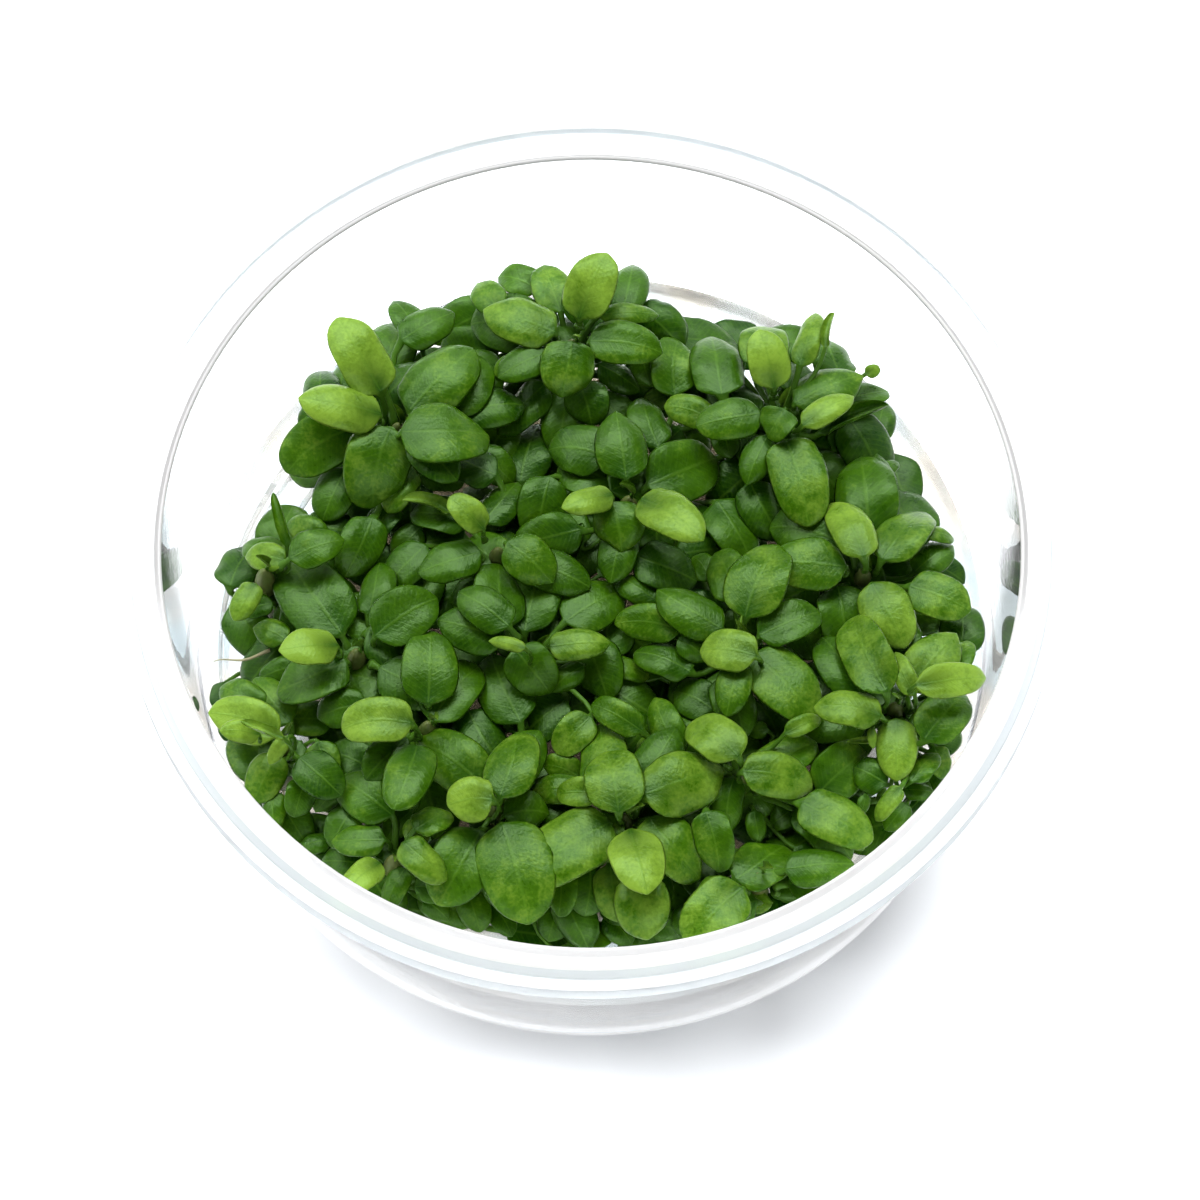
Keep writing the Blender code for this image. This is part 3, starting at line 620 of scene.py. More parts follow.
# outline of the whole clump, as it shows against the gel from the camera
clumpOutline = (
    (-4.9, 49.1), (2.0, 47.9), (6.0, 45.4), (6.6, 39.4), (7.9, 37.9), (8.2, 35.3), (11.0, 34.7),
    (12.1, 36.2), (13.5, 36.7), (16.6, 36.3), (19.6, 37.6), (22.2, 37.2), (25.1, 38.8), (27.3, 35.1),
    (30.6, 33.9), (32.7, 30.8), (32.6, 25.9), (30.1, 23.9), (31.2, 21.6), (33.9, 20.4), (34.7, 16.1),
    (38.0, 14.9), (39.8, 11.5), (41.4, 5.5), (39.4, 2.3), (41.1, -0.7), (43.1, -4.0), (43.5, -6.6),
    (42.3, -10.7), (39.5, -16.0), (33.9, -22.7), (29.9, -25.8), (25.2, -26.0), (24.9, -29.3),
    (18.2, -32.4), (10.6, -35.0), (0.9, -36.0), (-5.5, -35.6), (-6.6, -31.0), (-8.5, -31.6),
    (-9.8, -34.9), (-18.4, -33.1), (-26.5, -29.1), (-34.7, -22.4), (-40.9, -13.6), (-41.8, -9.5),
    (-40.3, -6.4), (-37.8, -6.0), (-35.7, -2.5), (-37.2, -0.1), (-36.8, 1.9), (-38.2, 2.4), (-39.6, 4.1),
    (-38.2, 7.1), (-38.4, 10.7), (-36.1, 12.7), (-35.3, 15.5), (-33.3, 13.1), (-30.0, 13.4),
    (-29.5, 16.1), (-30.3, 18.3), (-33.4, 19.5), (-33.3, 21.6), (-32.1, 24.6), (-32.5, 28.3),
    (-32.2, 32.0), (-31.5, 34.5), (-29.5, 36.3), (-28.2, 39.7), (-23.2, 39.2), (-21.5, 40.1),
    (-17.0, 38.2), (-13.6, 37.6), (-13.6, 40.7), (-12.5, 43.2), (-9.4, 46.1), (-5.2, 42.6),
)

# where the photo looks between the leaves, down to roots and gel: x, y, radius
clumpHoles = ((17.6, 13.6, 1.5), (10.1, 27.8, 1.3), (6.6, -7.8, 1.1), (-7.6, -32.7, 2.0))

# older leaves in the gaps, darker the lower they lie, partly for their age and partly as painted shade: height of the
# blade's foot, lengths, how far the foot may be off, tones
fillLayers = (
    {"height": 19.5, "length": (6.0, 8.4), "reach": 10.0, "tone": (0.15, 0.4), "flat": False},
    {"height": 17.5, "length": (5.6, 8.0), "reach": 11.0, "tone": (0.1, 0.35), "flat": False},
    {"height": 16.4, "length": (3.6, 5.4), "reach": 12.0, "tone": (0.05, 0.3), "flat": False},
    {"height": 15.2, "length": (6.0, 8.0), "reach": 14.0, "tone": (0.02, 0.2), "flat": True},
    {"height": 13.9, "length": (5.5, 8.0), "reach": 14.0, "tone": (0.0, 0.15), "flat": True},
    {"height": 13.6, "length": (3.6, 5.0), "reach": 15.0, "tone": (0.0, 0.15), "flat": True},
    {"height": 13.4, "length": (2.2, 3.2), "reach": 15.0, "tone": (0.0, 0.15), "flat": True},
)
gapSettings = {"cell": 0.5, "plantsTried": 3, "tries": 4}
strayRoot = {"plantlet": 17, "start": (-34.8, -4.6, 19.2), "heading": 195, "length": 6.2, "fall": 0.8, "sway": 0.7}
spikeForm = {"length": (2.4, 3.6), "width": 0.9, "tone": (0.6, 0.8)}
shootSettings = {"wallGap": 0.7, "gelGap": 0.25, "headroom": 3.6, "turnStep": 7, "turns": 3, "rise": 1.0}


def bladeShare(ring):
    # rings crowd towards the blade's foot and tip, where it narrows fast
    step = ring / (leafForm["bladeRings"] - 1)
    return (1 - math.cos(math.pi * step)) / 2 * 0.8 + step * 0.2


def outlineWidth(share):
    # half width of the egg-shaped blade along its midrib, 1 where it is widest
    points = leafForm["outline"]
    for (low, lowWidth), (high, highWidth) in zip(points, points[1:]):
        if share <= high:
            return lowWidth + (highWidth - lowWidth) * (share - low) / (high - low)
    return points[-1][1]


def modelLeafTube():
    # a straight tube, a ring for every station along petiole and blade; each leaf is a copy of it
    rings = leafForm["petioleRings"] + leafForm["bladeRings"]
    bpy.ops.object.select_all(action="DESELECT")
    bpy.ops.mesh.primitive_circle_add(
        vertices=leafForm["sides"], radius=1, fill_type="NGON", rotation=(math.pi / 2, 0, math.pi / 2)
    )
    tube = bpy.context.object
    bpy.ops.object.transform_apply(rotation=True)
    bpy.ops.object.mode_set(mode="EDIT")
    for _ in range(rings - 1):
        bpy.ops.mesh.extrude_region_move(TRANSFORM_OT_translate={"value": (1, 0, 0)})
    bpy.ops.mesh.select_all(action="SELECT")
    bpy.ops.mesh.normals_make_consistent(inside=False)
    bpy.ops.object.mode_set(mode="OBJECT")
    bpy.ops.object.shade_smooth()
    mesh = tube.data
    corners = [(round(v.co.x), v.co.y, v.co.z) for v in mesh.vertices]
    while mesh.uv_layers:
        mesh.uv_layers.remove(mesh.uv_layers[0])
    layer = mesh.uv_layers.new(name="leafMap")
    for loop in mesh.loops:
        ring, across, _ = corners[loop.vertex_index]
        blade = ring - leafForm["petioleRings"]
        along = bladeShare(blade) if blade >= 0 else blade / leafForm["petioleRings"]
        layer.data[loop.index].uv = (along, across)
    under = mesh.attributes.new("under", "FLOAT", "POINT")
    for i, (_, _, up) in enumerate(corners):
        under.data[i].value = 1.0 if up < -0.05 else 0.0
    bpy.data.objects.remove(tube)
    return mesh, corners


leafMesh, leafCorners = modelLeafTube()


def turned(yaw, slope):
    # forwards, sideways and upwards of a leaf that heads one way and rises at a slope
    forwards = Vector((math.cos(slope) * math.cos(yaw), math.cos(slope) * math.sin(yaw), math.sin(slope)))
    sideways = Vector((-math.sin(yaw), math.cos(yaw), 0))
    return forwards, sideways, forwards.cross(sideways)


def leafRings(leaf):
    # centre, sideways, upwards, half width and half height of each ring along petiole and blade
    form = leafForm
    yaw, base, tip = (math.radians(leaf[key]) for key in ("heading", "baseSlope", "tipSlope"))
    root, start = leaf["root"], leaf["foot"]
    toward = math.atan2(start.y - root.y, start.x - root.x)
    pull = (start - root).length * form["petiolePull"]
    first = root + pull * turned(toward, math.radians(form["rootSlope"]))[0]
    second = start - pull * turned(yaw, base + math.radians(form["footKink"]))[0]
    petiole, sheath = form["petioleRadius"] * mm * leaf["stout"], form["sheathRadius"] * mm * leaf["stout"]
    rings = []
    for i in range(form["petioleRings"]):
        share = i / form["petioleRings"]
        rest = 1 - share
        centre = (
            root * rest**3 + first * 3 * rest * rest * share + second * 3 * rest * share * share + start * share**3
        )
        along = (first - root) * rest * rest + (second - first) * 2 * rest * share + (start - second) * share**2
        flat = math.hypot(along.x, along.y)
        _, side, up = turned(math.atan2(along.y, along.x) if flat > 1e-7 else yaw, math.atan2(along.z, flat))
        radius = petiole + (sheath - petiole) * rest**3
        rings.append((centre, side, up, radius, radius * form["petioleFlatness"], None))
    centre = start.copy()
    done = 0.0
    for i in range(form["bladeRings"]):
        share = bladeShare(i)
        middle = (share + done) / 2
        bend = math.radians(leaf["bend"])
        step = (share - done) * leaf["length"]
        centre = centre + step * turned(yaw + bend * (middle - 0.5), base + (tip - base) * middle)[0]
        done = share
        slope = base + (tip - base) * share - math.radians(leaf["hook"]) * max(0, share - 0.75) / 0.25
        _, side, up = turned(yaw + bend * (share - 0.5), slope)
        roll = math.radians(leaf["roll"]) * min(1, share * 3)
        side, up = side * math.cos(roll) + up * math.sin(roll), up * math.cos(roll) - side * math.sin(roll)
        width = max(leaf["half"] * outlineWidth(share) ** leaf["blunt"], petiole * (1 - share) ** 6, form["tipPoint"] * mm)
        fade = max(0, 1 - share / 0.14) ** 2
        height = form["thickness"] * mm * (1 - 0.6 * share) * (1 - fade) + petiole * form["petioleFlatness"] * fade
        rings.append((centre, side, up, width, height, share))
    return rings


def leafPoint(leaf, ring, across, up):
    # a corner of one ring: the blade curls about its midrib, which is a groove above and a rib below
    centre, side, normal, width, height, share = ring
    if share is None:
        return centre + side * (across * width) + normal * (up * height)
    curl = leaf["curl"] * min(1, share / 0.2 + 0.15)
    if abs(curl) < 0.03:
        sideways, drop = width * across, 0.0
    else:
        sideways = width * math.sin(across * curl) / curl
        drop = width * (1 - math.cos(across * curl)) / curl
    near = math.exp(-((across / 0.22) ** 2)) * (1 - share) * min(1, share * 6)
    cut = leafForm["groove"] * near if up >= 0 else leafForm["rib"] * near
    ruffle = leaf["wave"] * width * across * across * math.sin(
        6.283 * (share * 1.6 + leaf["phase"] + 0.2 * across)
    )
    lift = leaf["fold"] * abs(across) * width - drop + ruffle - cut * mm
    return centre + side * sideways + normal * (lift + up * height)


def placePoints(leaf, corners):
    rings = leafRings(leaf)
    return [leafPoint(leaf, rings[ring], across, up) for ring, across, up in corners]


# a coarse net of the same leaf, to see whether a leaf has room
testRings = (5, 7, 9, 11, 13, 15, 17, 19, 21)
testAngles = [i * math.pi / 4 for i in range(8)]
testCorners = [(ring, math.cos(angle), math.sin(angle)) for ring in testRings for angle in testAngles]
testFaces = [
    (i * 8 + j, i * 8 + (j + 1) % 8, (i + 1) * 8 + (j + 1) % 8, (i + 1) * 8 + j)
    for i in range(len(testRings) - 1)
    for j in range(8)
]
grownLeaves, netCells = [], []


def testNet(leaf):
    points = placePoints(leaf, testCorners)
    low = [min(point[i] for point in points) for i in range(3)]
    high = [max(point[i] for point in points) for i in range(3)]
    return points, low, high


def hasRoom(net):
    points, low, high = net
    gap = shootSettings
    for point in points:
        radius = point.xy.length
        if radius > innerRadius(point.z) - gap["wallGap"] * mm:
            return False
        if point.z < gelTop(radius) + gap["gelGap"] * mm or point.z > cupHeight - gap["headroom"] * mm:
            return False
    tree = None
    for other, otherLow, otherHigh in grownLeaves:
        if any(low[i] > otherHigh[i] or otherLow[i] > high[i] for i in range(3)):
            continue
        tree = tree or BVHTree.FromPolygons(points, testFaces)
        if tree.overlap(other):
            return False
    return True


def keepNet(net):
    grownLeaves.append((BVHTree.FromPolygons(net[0], testFaces), net[1], net[2]))
    netCells.append(coveredCells(net[0]))


def leafFigure(foot, heading, length, width, tone, axis, shoulder):
    # a leaf from its measures, with its own small differences; its stalk starts at the rhizome's side
    away = (foot.xy - axis.xy).to_3d()
    away = away.normalized() if away.length > 0.01 * mm else Vector((1, 0, 0))
    root = Vector((axis.x, axis.y, 0)) + away * 1.0 * mm
    root.z = max(gelLevel + 0.6 * mm, min(shoulder - 0.6 * mm, foot.z - 3.0 * mm))
    rolled = width < 0.36 * length
    if not rolled and foot.z < 23.5 * mm:
        width = max(width, 0.7 * length)
    return {
        "foot": foot,
        "root": root,
        "heading": heading,
        "length": length * (1.06 if rolled else 1.12),
        "half": width / 2 * (1.5 if rolled else 1.22),
        "baseSlope": random.uniform(8, 30),
        "tipSlope": random.uniform(-56, -30) if not rolled else random.uniform(-12, 0),
        "curl": random.uniform(0.35, 1.1) if not rolled else -random.uniform(1.5, 2.0),
        "fold": random.uniform(0.08, 0.34),
        "bend": random.uniform(-24, 24),
        "roll": random.uniform(-24, 24),
        "hook": random.uniform(5, 50),
        "blunt": random.uniform(0.6, 1.0) if not rolled else 1.0,
        "wave": random.uniform(0.02, 0.09),
        "phase": random.random(),
        "stout": 1.0 if length > 6 * mm else 0.7,
        "tone": min(1, max(0, tone + random.uniform(-0.04, 0.04))),
    }


def readLeaf(points, axis, widest, tone, shoulder):
    # a leaf that follows a CAD leaf: its foot, widest place and tip are taken from that node's corners
    far = max(points, key=lambda p: (p.xy - axis.xy).length)
    toward = (far.xy - axis.xy).normalized()
    local = [
        ((p.xy - axis.xy).dot(toward), toward.x * (p.y - axis.y) - toward.y * (p.x - axis.x), p.z)
        for p in points
    ]
    reach = max(out for out, _, _ in local)
    nearest = min(out for out, _, _ in local)
    tipGroup = [p for p in local if p[0] > reach - 0.25 * mm]
    rootGroup = [p for p in local if p[0] < nearest + 0.6 * mm]
    half = max(abs(side) for _, side, _ in local)
    wideGroup = [p for p in local if abs(p[1]) > half * 0.93]

    def middle(group):
        return Vector((sum(p[0] for p in group), sum(p[2] for p in group))) / len(group)

    def inPlace(spot):
        return Vector((axis.x + toward.x * spot.x, axis.y + toward.y * spot.x, spot.y))

    tip, root, wide = middle(tipGroup), middle(rootGroup), middle(wideGroup)
    wide.y -= 0.2 * half
    tipward = math.atan2(tip.y - wide.y, tip.x - wide.x) + math.radians(6)
    length = (tip - wide).length / (1 - widest) * 1.1
    baseward = tipward + math.radians(24)
    start = wide - length * widest * Vector((math.cos(baseward), math.sin(baseward)))
    leaf = leafFigure(inPlace(start), 0, length, length * 0.7, tone, axis, shoulder)
    leaf.update(
        root=inPlace(root),
        heading=math.degrees(math.atan2(toward.y, toward.x)),
        length=length,
        half=half * random.uniform(1.02, 1.14),
        baseSlope=math.degrees(baseward) + 52 * widest / 2,
        tipSlope=math.degrees(tipward) - 52 * (1 - widest) / 2,
        bend=random.uniform(-12, 12),
        roll=random.uniform(-9, 9),
    )
    return leaf


def makeLeafMaterial():
    # a firm anubias leaf: waxy, half glossy, darker with age, with a sunken midrib and fine side veins
    material, tree = newMaterial("anubias leaf")
    coordinates = addNode(tree, "ShaderNodeTexCoord")
    leafMap = addNode(tree, "ShaderNodeUVMap", uv_map="leafMap")
    parts = addNode(tree, "ShaderNodeSeparateXYZ", {0: leafMap.outputs[0]})
    along = parts.outputs[0]
    across = addNode(tree, "ShaderNodeMath", {0: parts.outputs[1]}, operation="ABSOLUTE").outputs[0]
    tone = addNode(tree, "ShaderNodeAttribute", attribute_name="tone").outputs["Fac"]
    under = addNode(tree, "ShaderNodeAttribute", attribute_name="under").outputs["Fac"]
    patches = addNode(
        tree,
        "ShaderNodeTexNoise",
        {"Vector": coordinates.outputs["Object"], "Scale": 1 / (2.2 * mm), "Detail": 3.0, "Roughness": 0.6},
    ).outputs["Fac"]
    shift = addNode(
        tree, "ShaderNodeMapRange", {"Value": patches, "From Min": 0.3, "From Max": 0.7, "To Min": -0.16, "To Max": 0.16}
    ).outputs[0]
    grain = addNode(
        tree, "ShaderNodeTexNoise", {"Vector": coordinates.outputs["Object"], "Scale": 1 / (0.35 * mm), "Detail": 2.0}
    ).outputs["Fac"]
    speckle = addNode(
        tree, "ShaderNodeMapRange", {"Value": grain, "From Min": 0.3, "From Max": 0.7, "To Min": -0.09, "To Max": 0.09}
    ).outputs[0]
    shift = addNode(tree, "ShaderNodeMath", {0: shift, 1: speckle}, operation="ADD").outputs[0]
    age = addNode(tree, "ShaderNodeMath", {0: tone, 1: shift}, operation="ADD", use_clamp=True).outputs[0]
    older = addNode(
        tree, "ShaderNodeMapRange", {"Value": age, "From Min": 0.0, "From Max": 0.5}
    ).outputs[0]
    newer = addNode(
        tree, "ShaderNodeMapRange", {"Value": age, "From Min": 0.5, "From Max": 1.0}
    ).outputs[0]
    green = addNode(
        tree,
        "ShaderNodeMix",
        {0: older, 6: linearColour("#083101"), 7: linearColour("#3A6402")},
        data_type="RGBA",
    ).outputs[2]
    green = addNode(
        tree, "ShaderNodeMix", {0: newer, 6: green, 7: linearColour("#84A936")}, data_type="RGBA"
    ).outputs[2]
    # the foot of the blade stays a little darker
    footShade = addNode(
        tree, "ShaderNodeMapRange", {"Value": along, "From Min": 0.0, "From Max": 0.5, "To Min": 0.7, "To Max": 0.0}
    ).outputs[0]
    nearRib = addNode(
        tree, "ShaderNodeMapRange", {"Value": across, "From Min": 0.0, "From Max": 0.8, "To Min": 1.6, "To Max": 0.3}
    ).outputs[0]
    footShade = addNode(
        tree, "ShaderNodeMath", {0: footShade, 1: nearRib}, operation="MULTIPLY", use_clamp=True
    ).outputs[0]
    green = addNode(
        tree, "ShaderNodeMix", {0: footShade, 6: green, 7: linearColour("#174202")}, data_type="RGBA"
    ).outputs[2]
    # side veins run outwards and forwards from the midrib, about 0.5 mm apart
    slant = addNode(tree, "ShaderNodeMath", {0: across, 1: -3.2}, operation="MULTIPLY").outputs[0]
    run = addNode(
        tree, "ShaderNodeMath", {0: along, 1: 13.0, 2: slant}, operation="MULTIPLY_ADD"
    ).outputs[0]
    turn = addNode(tree, "ShaderNodeMath", {0: run, 1: 6.283}, operation="MULTIPLY").outputs[0]
    wave = addNode(tree, "ShaderNodeMath", {0: turn}, operation="SINE").outputs[0]
    vein = addNode(
        tree, "ShaderNodeMapRange", {"Value": wave, "From Min": 0.5, "From Max": 1.0, "To Max": 0.10}
    ).outputs[0]
    rib = addNode(
        tree,
        "ShaderNodeMapRange",
        {"Value": across, "From Min": 0.02, "From Max": 0.07, "To Min": 0.3, "To Max": 0.0},
    ).outputs[0]
    lines = addNode(tree, "ShaderNodeMath", {0: vein, 1: rib}, operation="MAXIMUM").outputs[0]
    green = addNode(
        tree, "ShaderNodeMix", {0: lines, 6: green, 7: linearColour("#5F8A26")}, data_type="RGBA"
    ).outputs[2]
    pale = addNode(tree, "ShaderNodeMath", {0: under, 1: 0.35}, operation="MULTIPLY").outputs[0]
    green = addNode(
        tree, "ShaderNodeMix", {0: pale, 6: green, 7: linearColour("#6C9238")}, data_type="RGBA"
    ).outputs[2]
    stalk = addNode(
        tree, "ShaderNodeMapRange", {"Value": along, "From Min": -0.1, "From Max": 0.04, "To Min": 1.0, "To Max": 0.0}
    ).outputs[0]
    green = addNode(
        tree, "ShaderNodeMix", {0: stalk, 6: green, 7: linearColour("#456E1A")}, data_type="RGBA"
    ).outputs[2]
    puckers = addNode(
        tree, "ShaderNodeTexNoise", {"Vector": coordinates.outputs["Object"], "Scale": 1 / (1.3 * mm), "Detail": 2.0}
    ).outputs["Fac"]
    skin = addNode(tree, "ShaderNodeMath", {0: puckers, 1: 1.1, 2: lines}, operation="MULTIPLY_ADD").outputs[0]
    height = addNode(tree, "ShaderNodeMath", {0: grain, 1: 0.8, 2: skin}, operation="MULTIPLY_ADD").outputs[0]
    bump = addNode(
        tree, "ShaderNodeBump", {"Height": height, "Strength": 0.4, "Distance": 0.12 * mm}
    ).outputs[0]
    gloss = addNode(
        tree, "ShaderNodeMapRange", {"Value": patches, "From Min": 0.2, "From Max": 0.8, "To Min": 0.24, "To Max": 0.38}
    ).outputs[0]
    shader = addNode(
        tree,
        "ShaderNodeBsdfPrincipled",
        {
            "Base Color": green,
            "Roughness": gloss,
            "IOR": 1.45,
            "Specular IOR Level": 0.6,
            "Specular Tint": linearColour("#B8E4A0"),
            "Normal": bump,
        },
    )
    addNode(tree, "ShaderNodeOutputMaterial", {"Surface": shader.outputs[0]})
    return material


leafMaterial = makeLeafMaterial()


def growLeaf(name, leaf):
    # a copy of the straight tube, laid along this leaf's own midrib
    mesh = leafMesh.copy()
    points = placePoints(leaf, leafCorners)
    mesh.vertices.foreach_set("co", [value for point in points for value in point])
    tone = mesh.attributes.new("tone", "FLOAT", "POINT")
    tone.data.foreach_set("value", [leaf["tone"]] * len(points))
    mesh.materials.append(leafMaterial)
    mesh.update()
    obj = bpy.data.objects.new(name, mesh)
    bpy.context.scene.collection.objects.link(obj)
    return obj


# rhizomes and roots

rhizomeForm = {"sides": 14, "radius": 1.2, "scars": 5, "bud": 1.9, "rootCount": 4, "rootRadius": 0.22}


def makeRhizomeMaterial():
    # a creeping rhizome: firm green bark, browner in patches
    material, tree = newMaterial("anubias rhizome")
    coordinates = addNode(tree, "ShaderNodeTexCoord")
    bark = addNode(
        tree,
        "ShaderNodeTexNoise",
        {"Vector": coordinates.outputs["Object"], "Scale": 1 / (1.1 * mm), "Detail": 4.0},
    ).outputs["Fac"]
    green = addNode(
        tree,
        "ShaderNodeMix",
        {0: bark, 6: linearColour("#4F6E2A"), 7: linearColour("#6B6A35")},
        data_type="RGBA",
    ).outputs[2]
    bump = addNode(
        tree, "ShaderNodeBump", {"Height": bark, "Strength": 0.5, "Distance": 0.15 * mm}
    ).outputs[0]
    shader = addNode(
        tree, "ShaderNodeBsdfPrincipled", {"Base Color": green, "Roughness": 0.5, "Normal": bump}
    )
    addNode(tree, "ShaderNodeOutputMaterial", {"Surface": shader.outputs[0]})
    return material


def makeRootMaterial():
    # young feeding roots: pale and thin, browner in patches
    material, tree = newMaterial("anubias root")
    coordinates = addNode(tree, "ShaderNodeTexCoord")
    skin = addNode(
        tree,
        "ShaderNodeTexNoise",
        {"Vector": coordinates.outputs["Object"], "Scale": 1 / (2.5 * mm), "Detail": 2.0},
    ).outputs["Fac"]
    tint = addNode(
        tree,
        "ShaderNodeMix",
        {0: skin, 6: linearColour("#CFC9A2"), 7: linearColour("#8E8A5A")},
        data_type="RGBA",
    ).outputs[2]
    shader = addNode(tree, "ShaderNodeBsdfPrincipled", {"Base Color": tint, "Roughness": 0.4})
    addNode(tree, "ShaderNodeOutputMaterial", {"Surface": shader.outputs[0]})
    return material


def modelRhizome(shoulder):
    # a short upright stem, drawn out ring by ring with a step at every leaf scar, and a blunt bud
    low = gelLevel - 1.9 * mm
    scars = rhizomeForm["scars"]
    radius = rhizomeForm["radius"] * mm
    levels = [(low + (shoulder - low) * 0.3, 0.9)]
    for i in range(scars):
        foot = low + (shoulder - low) * (0.36 + 0.64 * i / scars)
        levels += [(foot, 1.0), (foot + 0.9 * mm, 0.86)]
    levels += [
        (shoulder, 0.84),
        (shoulder + rhizomeForm["bud"] * 0.6 * mm, 0.52),
        (shoulder + rhizomeForm["bud"] * mm, 0.14),
    ]
    profile = [(radius * 0.8, low)] + [(radius * share, height) for height, share in levels]
    stem = turnProfile("stem", profile, rhizomeForm["sides"])
    bpy.ops.object.shade_smooth()
    mesh = stem.data
    mesh.materials.append(makeRhizomeMaterial())
    bpy.data.objects.remove(stem)
    return mesh


def modelRootTube():
    # a straight thin tube that every root is a copy of
    bpy.ops.object.select_all(action="DESELECT")
    bpy.ops.mesh.primitive_circle_add(
        vertices=6, radius=1, fill_type="NGON", rotation=(math.pi / 2, 0, math.pi / 2)
    )
    tube = bpy.context.object
    bpy.ops.object.transform_apply(rotation=True)
    bpy.ops.object.mode_set(mode="EDIT")
    for _ in range(11):
        bpy.ops.mesh.extrude_region_move(TRANSFORM_OT_translate={"value": (1, 0, 0)})
    bpy.ops.mesh.select_all(action="SELECT")
    bpy.ops.mesh.normals_make_consistent(inside=False)
    bpy.ops.object.mode_set(mode="OBJECT")
    bpy.ops.object.shade_smooth()
    mesh = tube.data
    mesh.materials.append(makeRootMaterial())
    bpy.data.objects.remove(tube)
    return mesh


def layRoot(mesh, start, heading, length, fall, sway):
    # bends a copy of the root tube: outwards and down, swaying to both sides and thinning to its tip
    copy = mesh.copy()
    angle = math.radians(heading)
    out = Vector((math.cos(angle), math.sin(angle), 0))
    side = Vector((-math.sin(angle), math.cos(angle), 0))
    for vertex in copy.vertices:
        share = max(0.0, min(1.0, vertex.co.x / 11))
        centre = (
            start
            + out * (length * share)
            + side * (sway * math.sin(share * 5.2) * share)
            + Vector((0, 0, -fall * share**0.7))
        )
        radius = rhizomeForm["rootRadius"] * mm * (1 - 0.75 * share)
        vertex.co = centre + side * (vertex.co.y * radius) + Vector((0, 0, vertex.co.z * radius))
    obj = bpy.data.objects.new("root", copy)
    bpy.context.scene.collection.objects.link(obj)
    return obj


# plantlets


def plantletAxis(name):
    # middle of the rhizome's foot, which is all of the node that lies under the gel's level
    low = [v.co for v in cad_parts[name].data.vertices if v.co.z < gelLevel - 0.5 * mm]
    return Vector((sum(p.x for p in low) / len(low), sum(p.y for p in low) / len(low), 0))


def smallLeafGroups(name, axis):
    # corners of each small leaf that the node holds: what stays in one piece once the stem is taken out
    mesh = bmesh.new()
    mesh.from_mesh(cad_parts[name].data)
    bmesh.ops.remove_doubles(mesh, verts=mesh.verts, dist=0.002 * mm)
    stem = [v for v in mesh.verts if (v.co.xy - axis.xy).length < 1.45 * mm]
    bmesh.ops.delete(mesh, geom=stem, context="VERTS")
    groups, left = [], set(mesh.verts)
    while left:
        queue, group = [left.pop()], []
        while queue:
            vertex = queue.pop()
            group.append(vertex.co.copy())
            for edge in vertex.link_edges:
                other = edge.other_vert(vertex)
                if other in left:
                    left.discard(other)
                    queue.append(other)
        if max((p.xy - axis.xy).length for p in group) > 4 * mm:
            groups.append(group)
    mesh.free()
    groups.sort(key=lambda group: math.atan2(group[0].y - axis.y, group[0].x - axis.x))
    return groups


def findRoom(leaf, turns):
    # lifts and turns the leaf a little until it has room; None if it has none
    rise = shootSettings["rise"] * mm
    for step in range(turns + 1):
        for way in (1, -1) if step else (1,):
            for lift in (0, -0.6, 0.6, -1.2, 1.2, -1.8):
                trial = dict(leaf)
                trial["heading"] += way * step * shootSettings["turnStep"]
                trial["foot"] = leaf["foot"] + Vector((0, 0, lift * rise))
                net = testNet(trial)
                if hasRoom(net):
                    keepNet(net)
                    return trial
    return None


def coveredCells(points):
    # cells of the plan, seen along the camera's line, that a leaf's net hides
    cell, slope = gapSettings["cell"] * mm, math.tan(math.radians(viewSettings["tilt"]))
    cells = set()
    for face in testFaces:
        a, b, c, d = (points[i] for i in face)
        for u in (0.0, 0.25, 0.5, 0.75, 1.0):
            for v in (0.0, 0.25, 0.5, 0.75, 1.0):
                point = (a * (1 - u) + b * u) * (1 - v) + (d * (1 - u) + c * u) * v
                drop = (point.z - gelLevel) * slope
                cells.add((round(point.x / cell), round((point.y + drop) / cell)))
    return cells


def insideOutline(x, y):
    # whether the clump's outline goes round this place
    inside = False
    for i, (ax, ay) in enumerate(clumpOutline):
        bx, by = clumpOutline[i - 1]
        if (ay > y) != (by > y) and x < (bx - ax) * (y - ay) / (by - ay) + ax:
            inside = not inside
    return inside


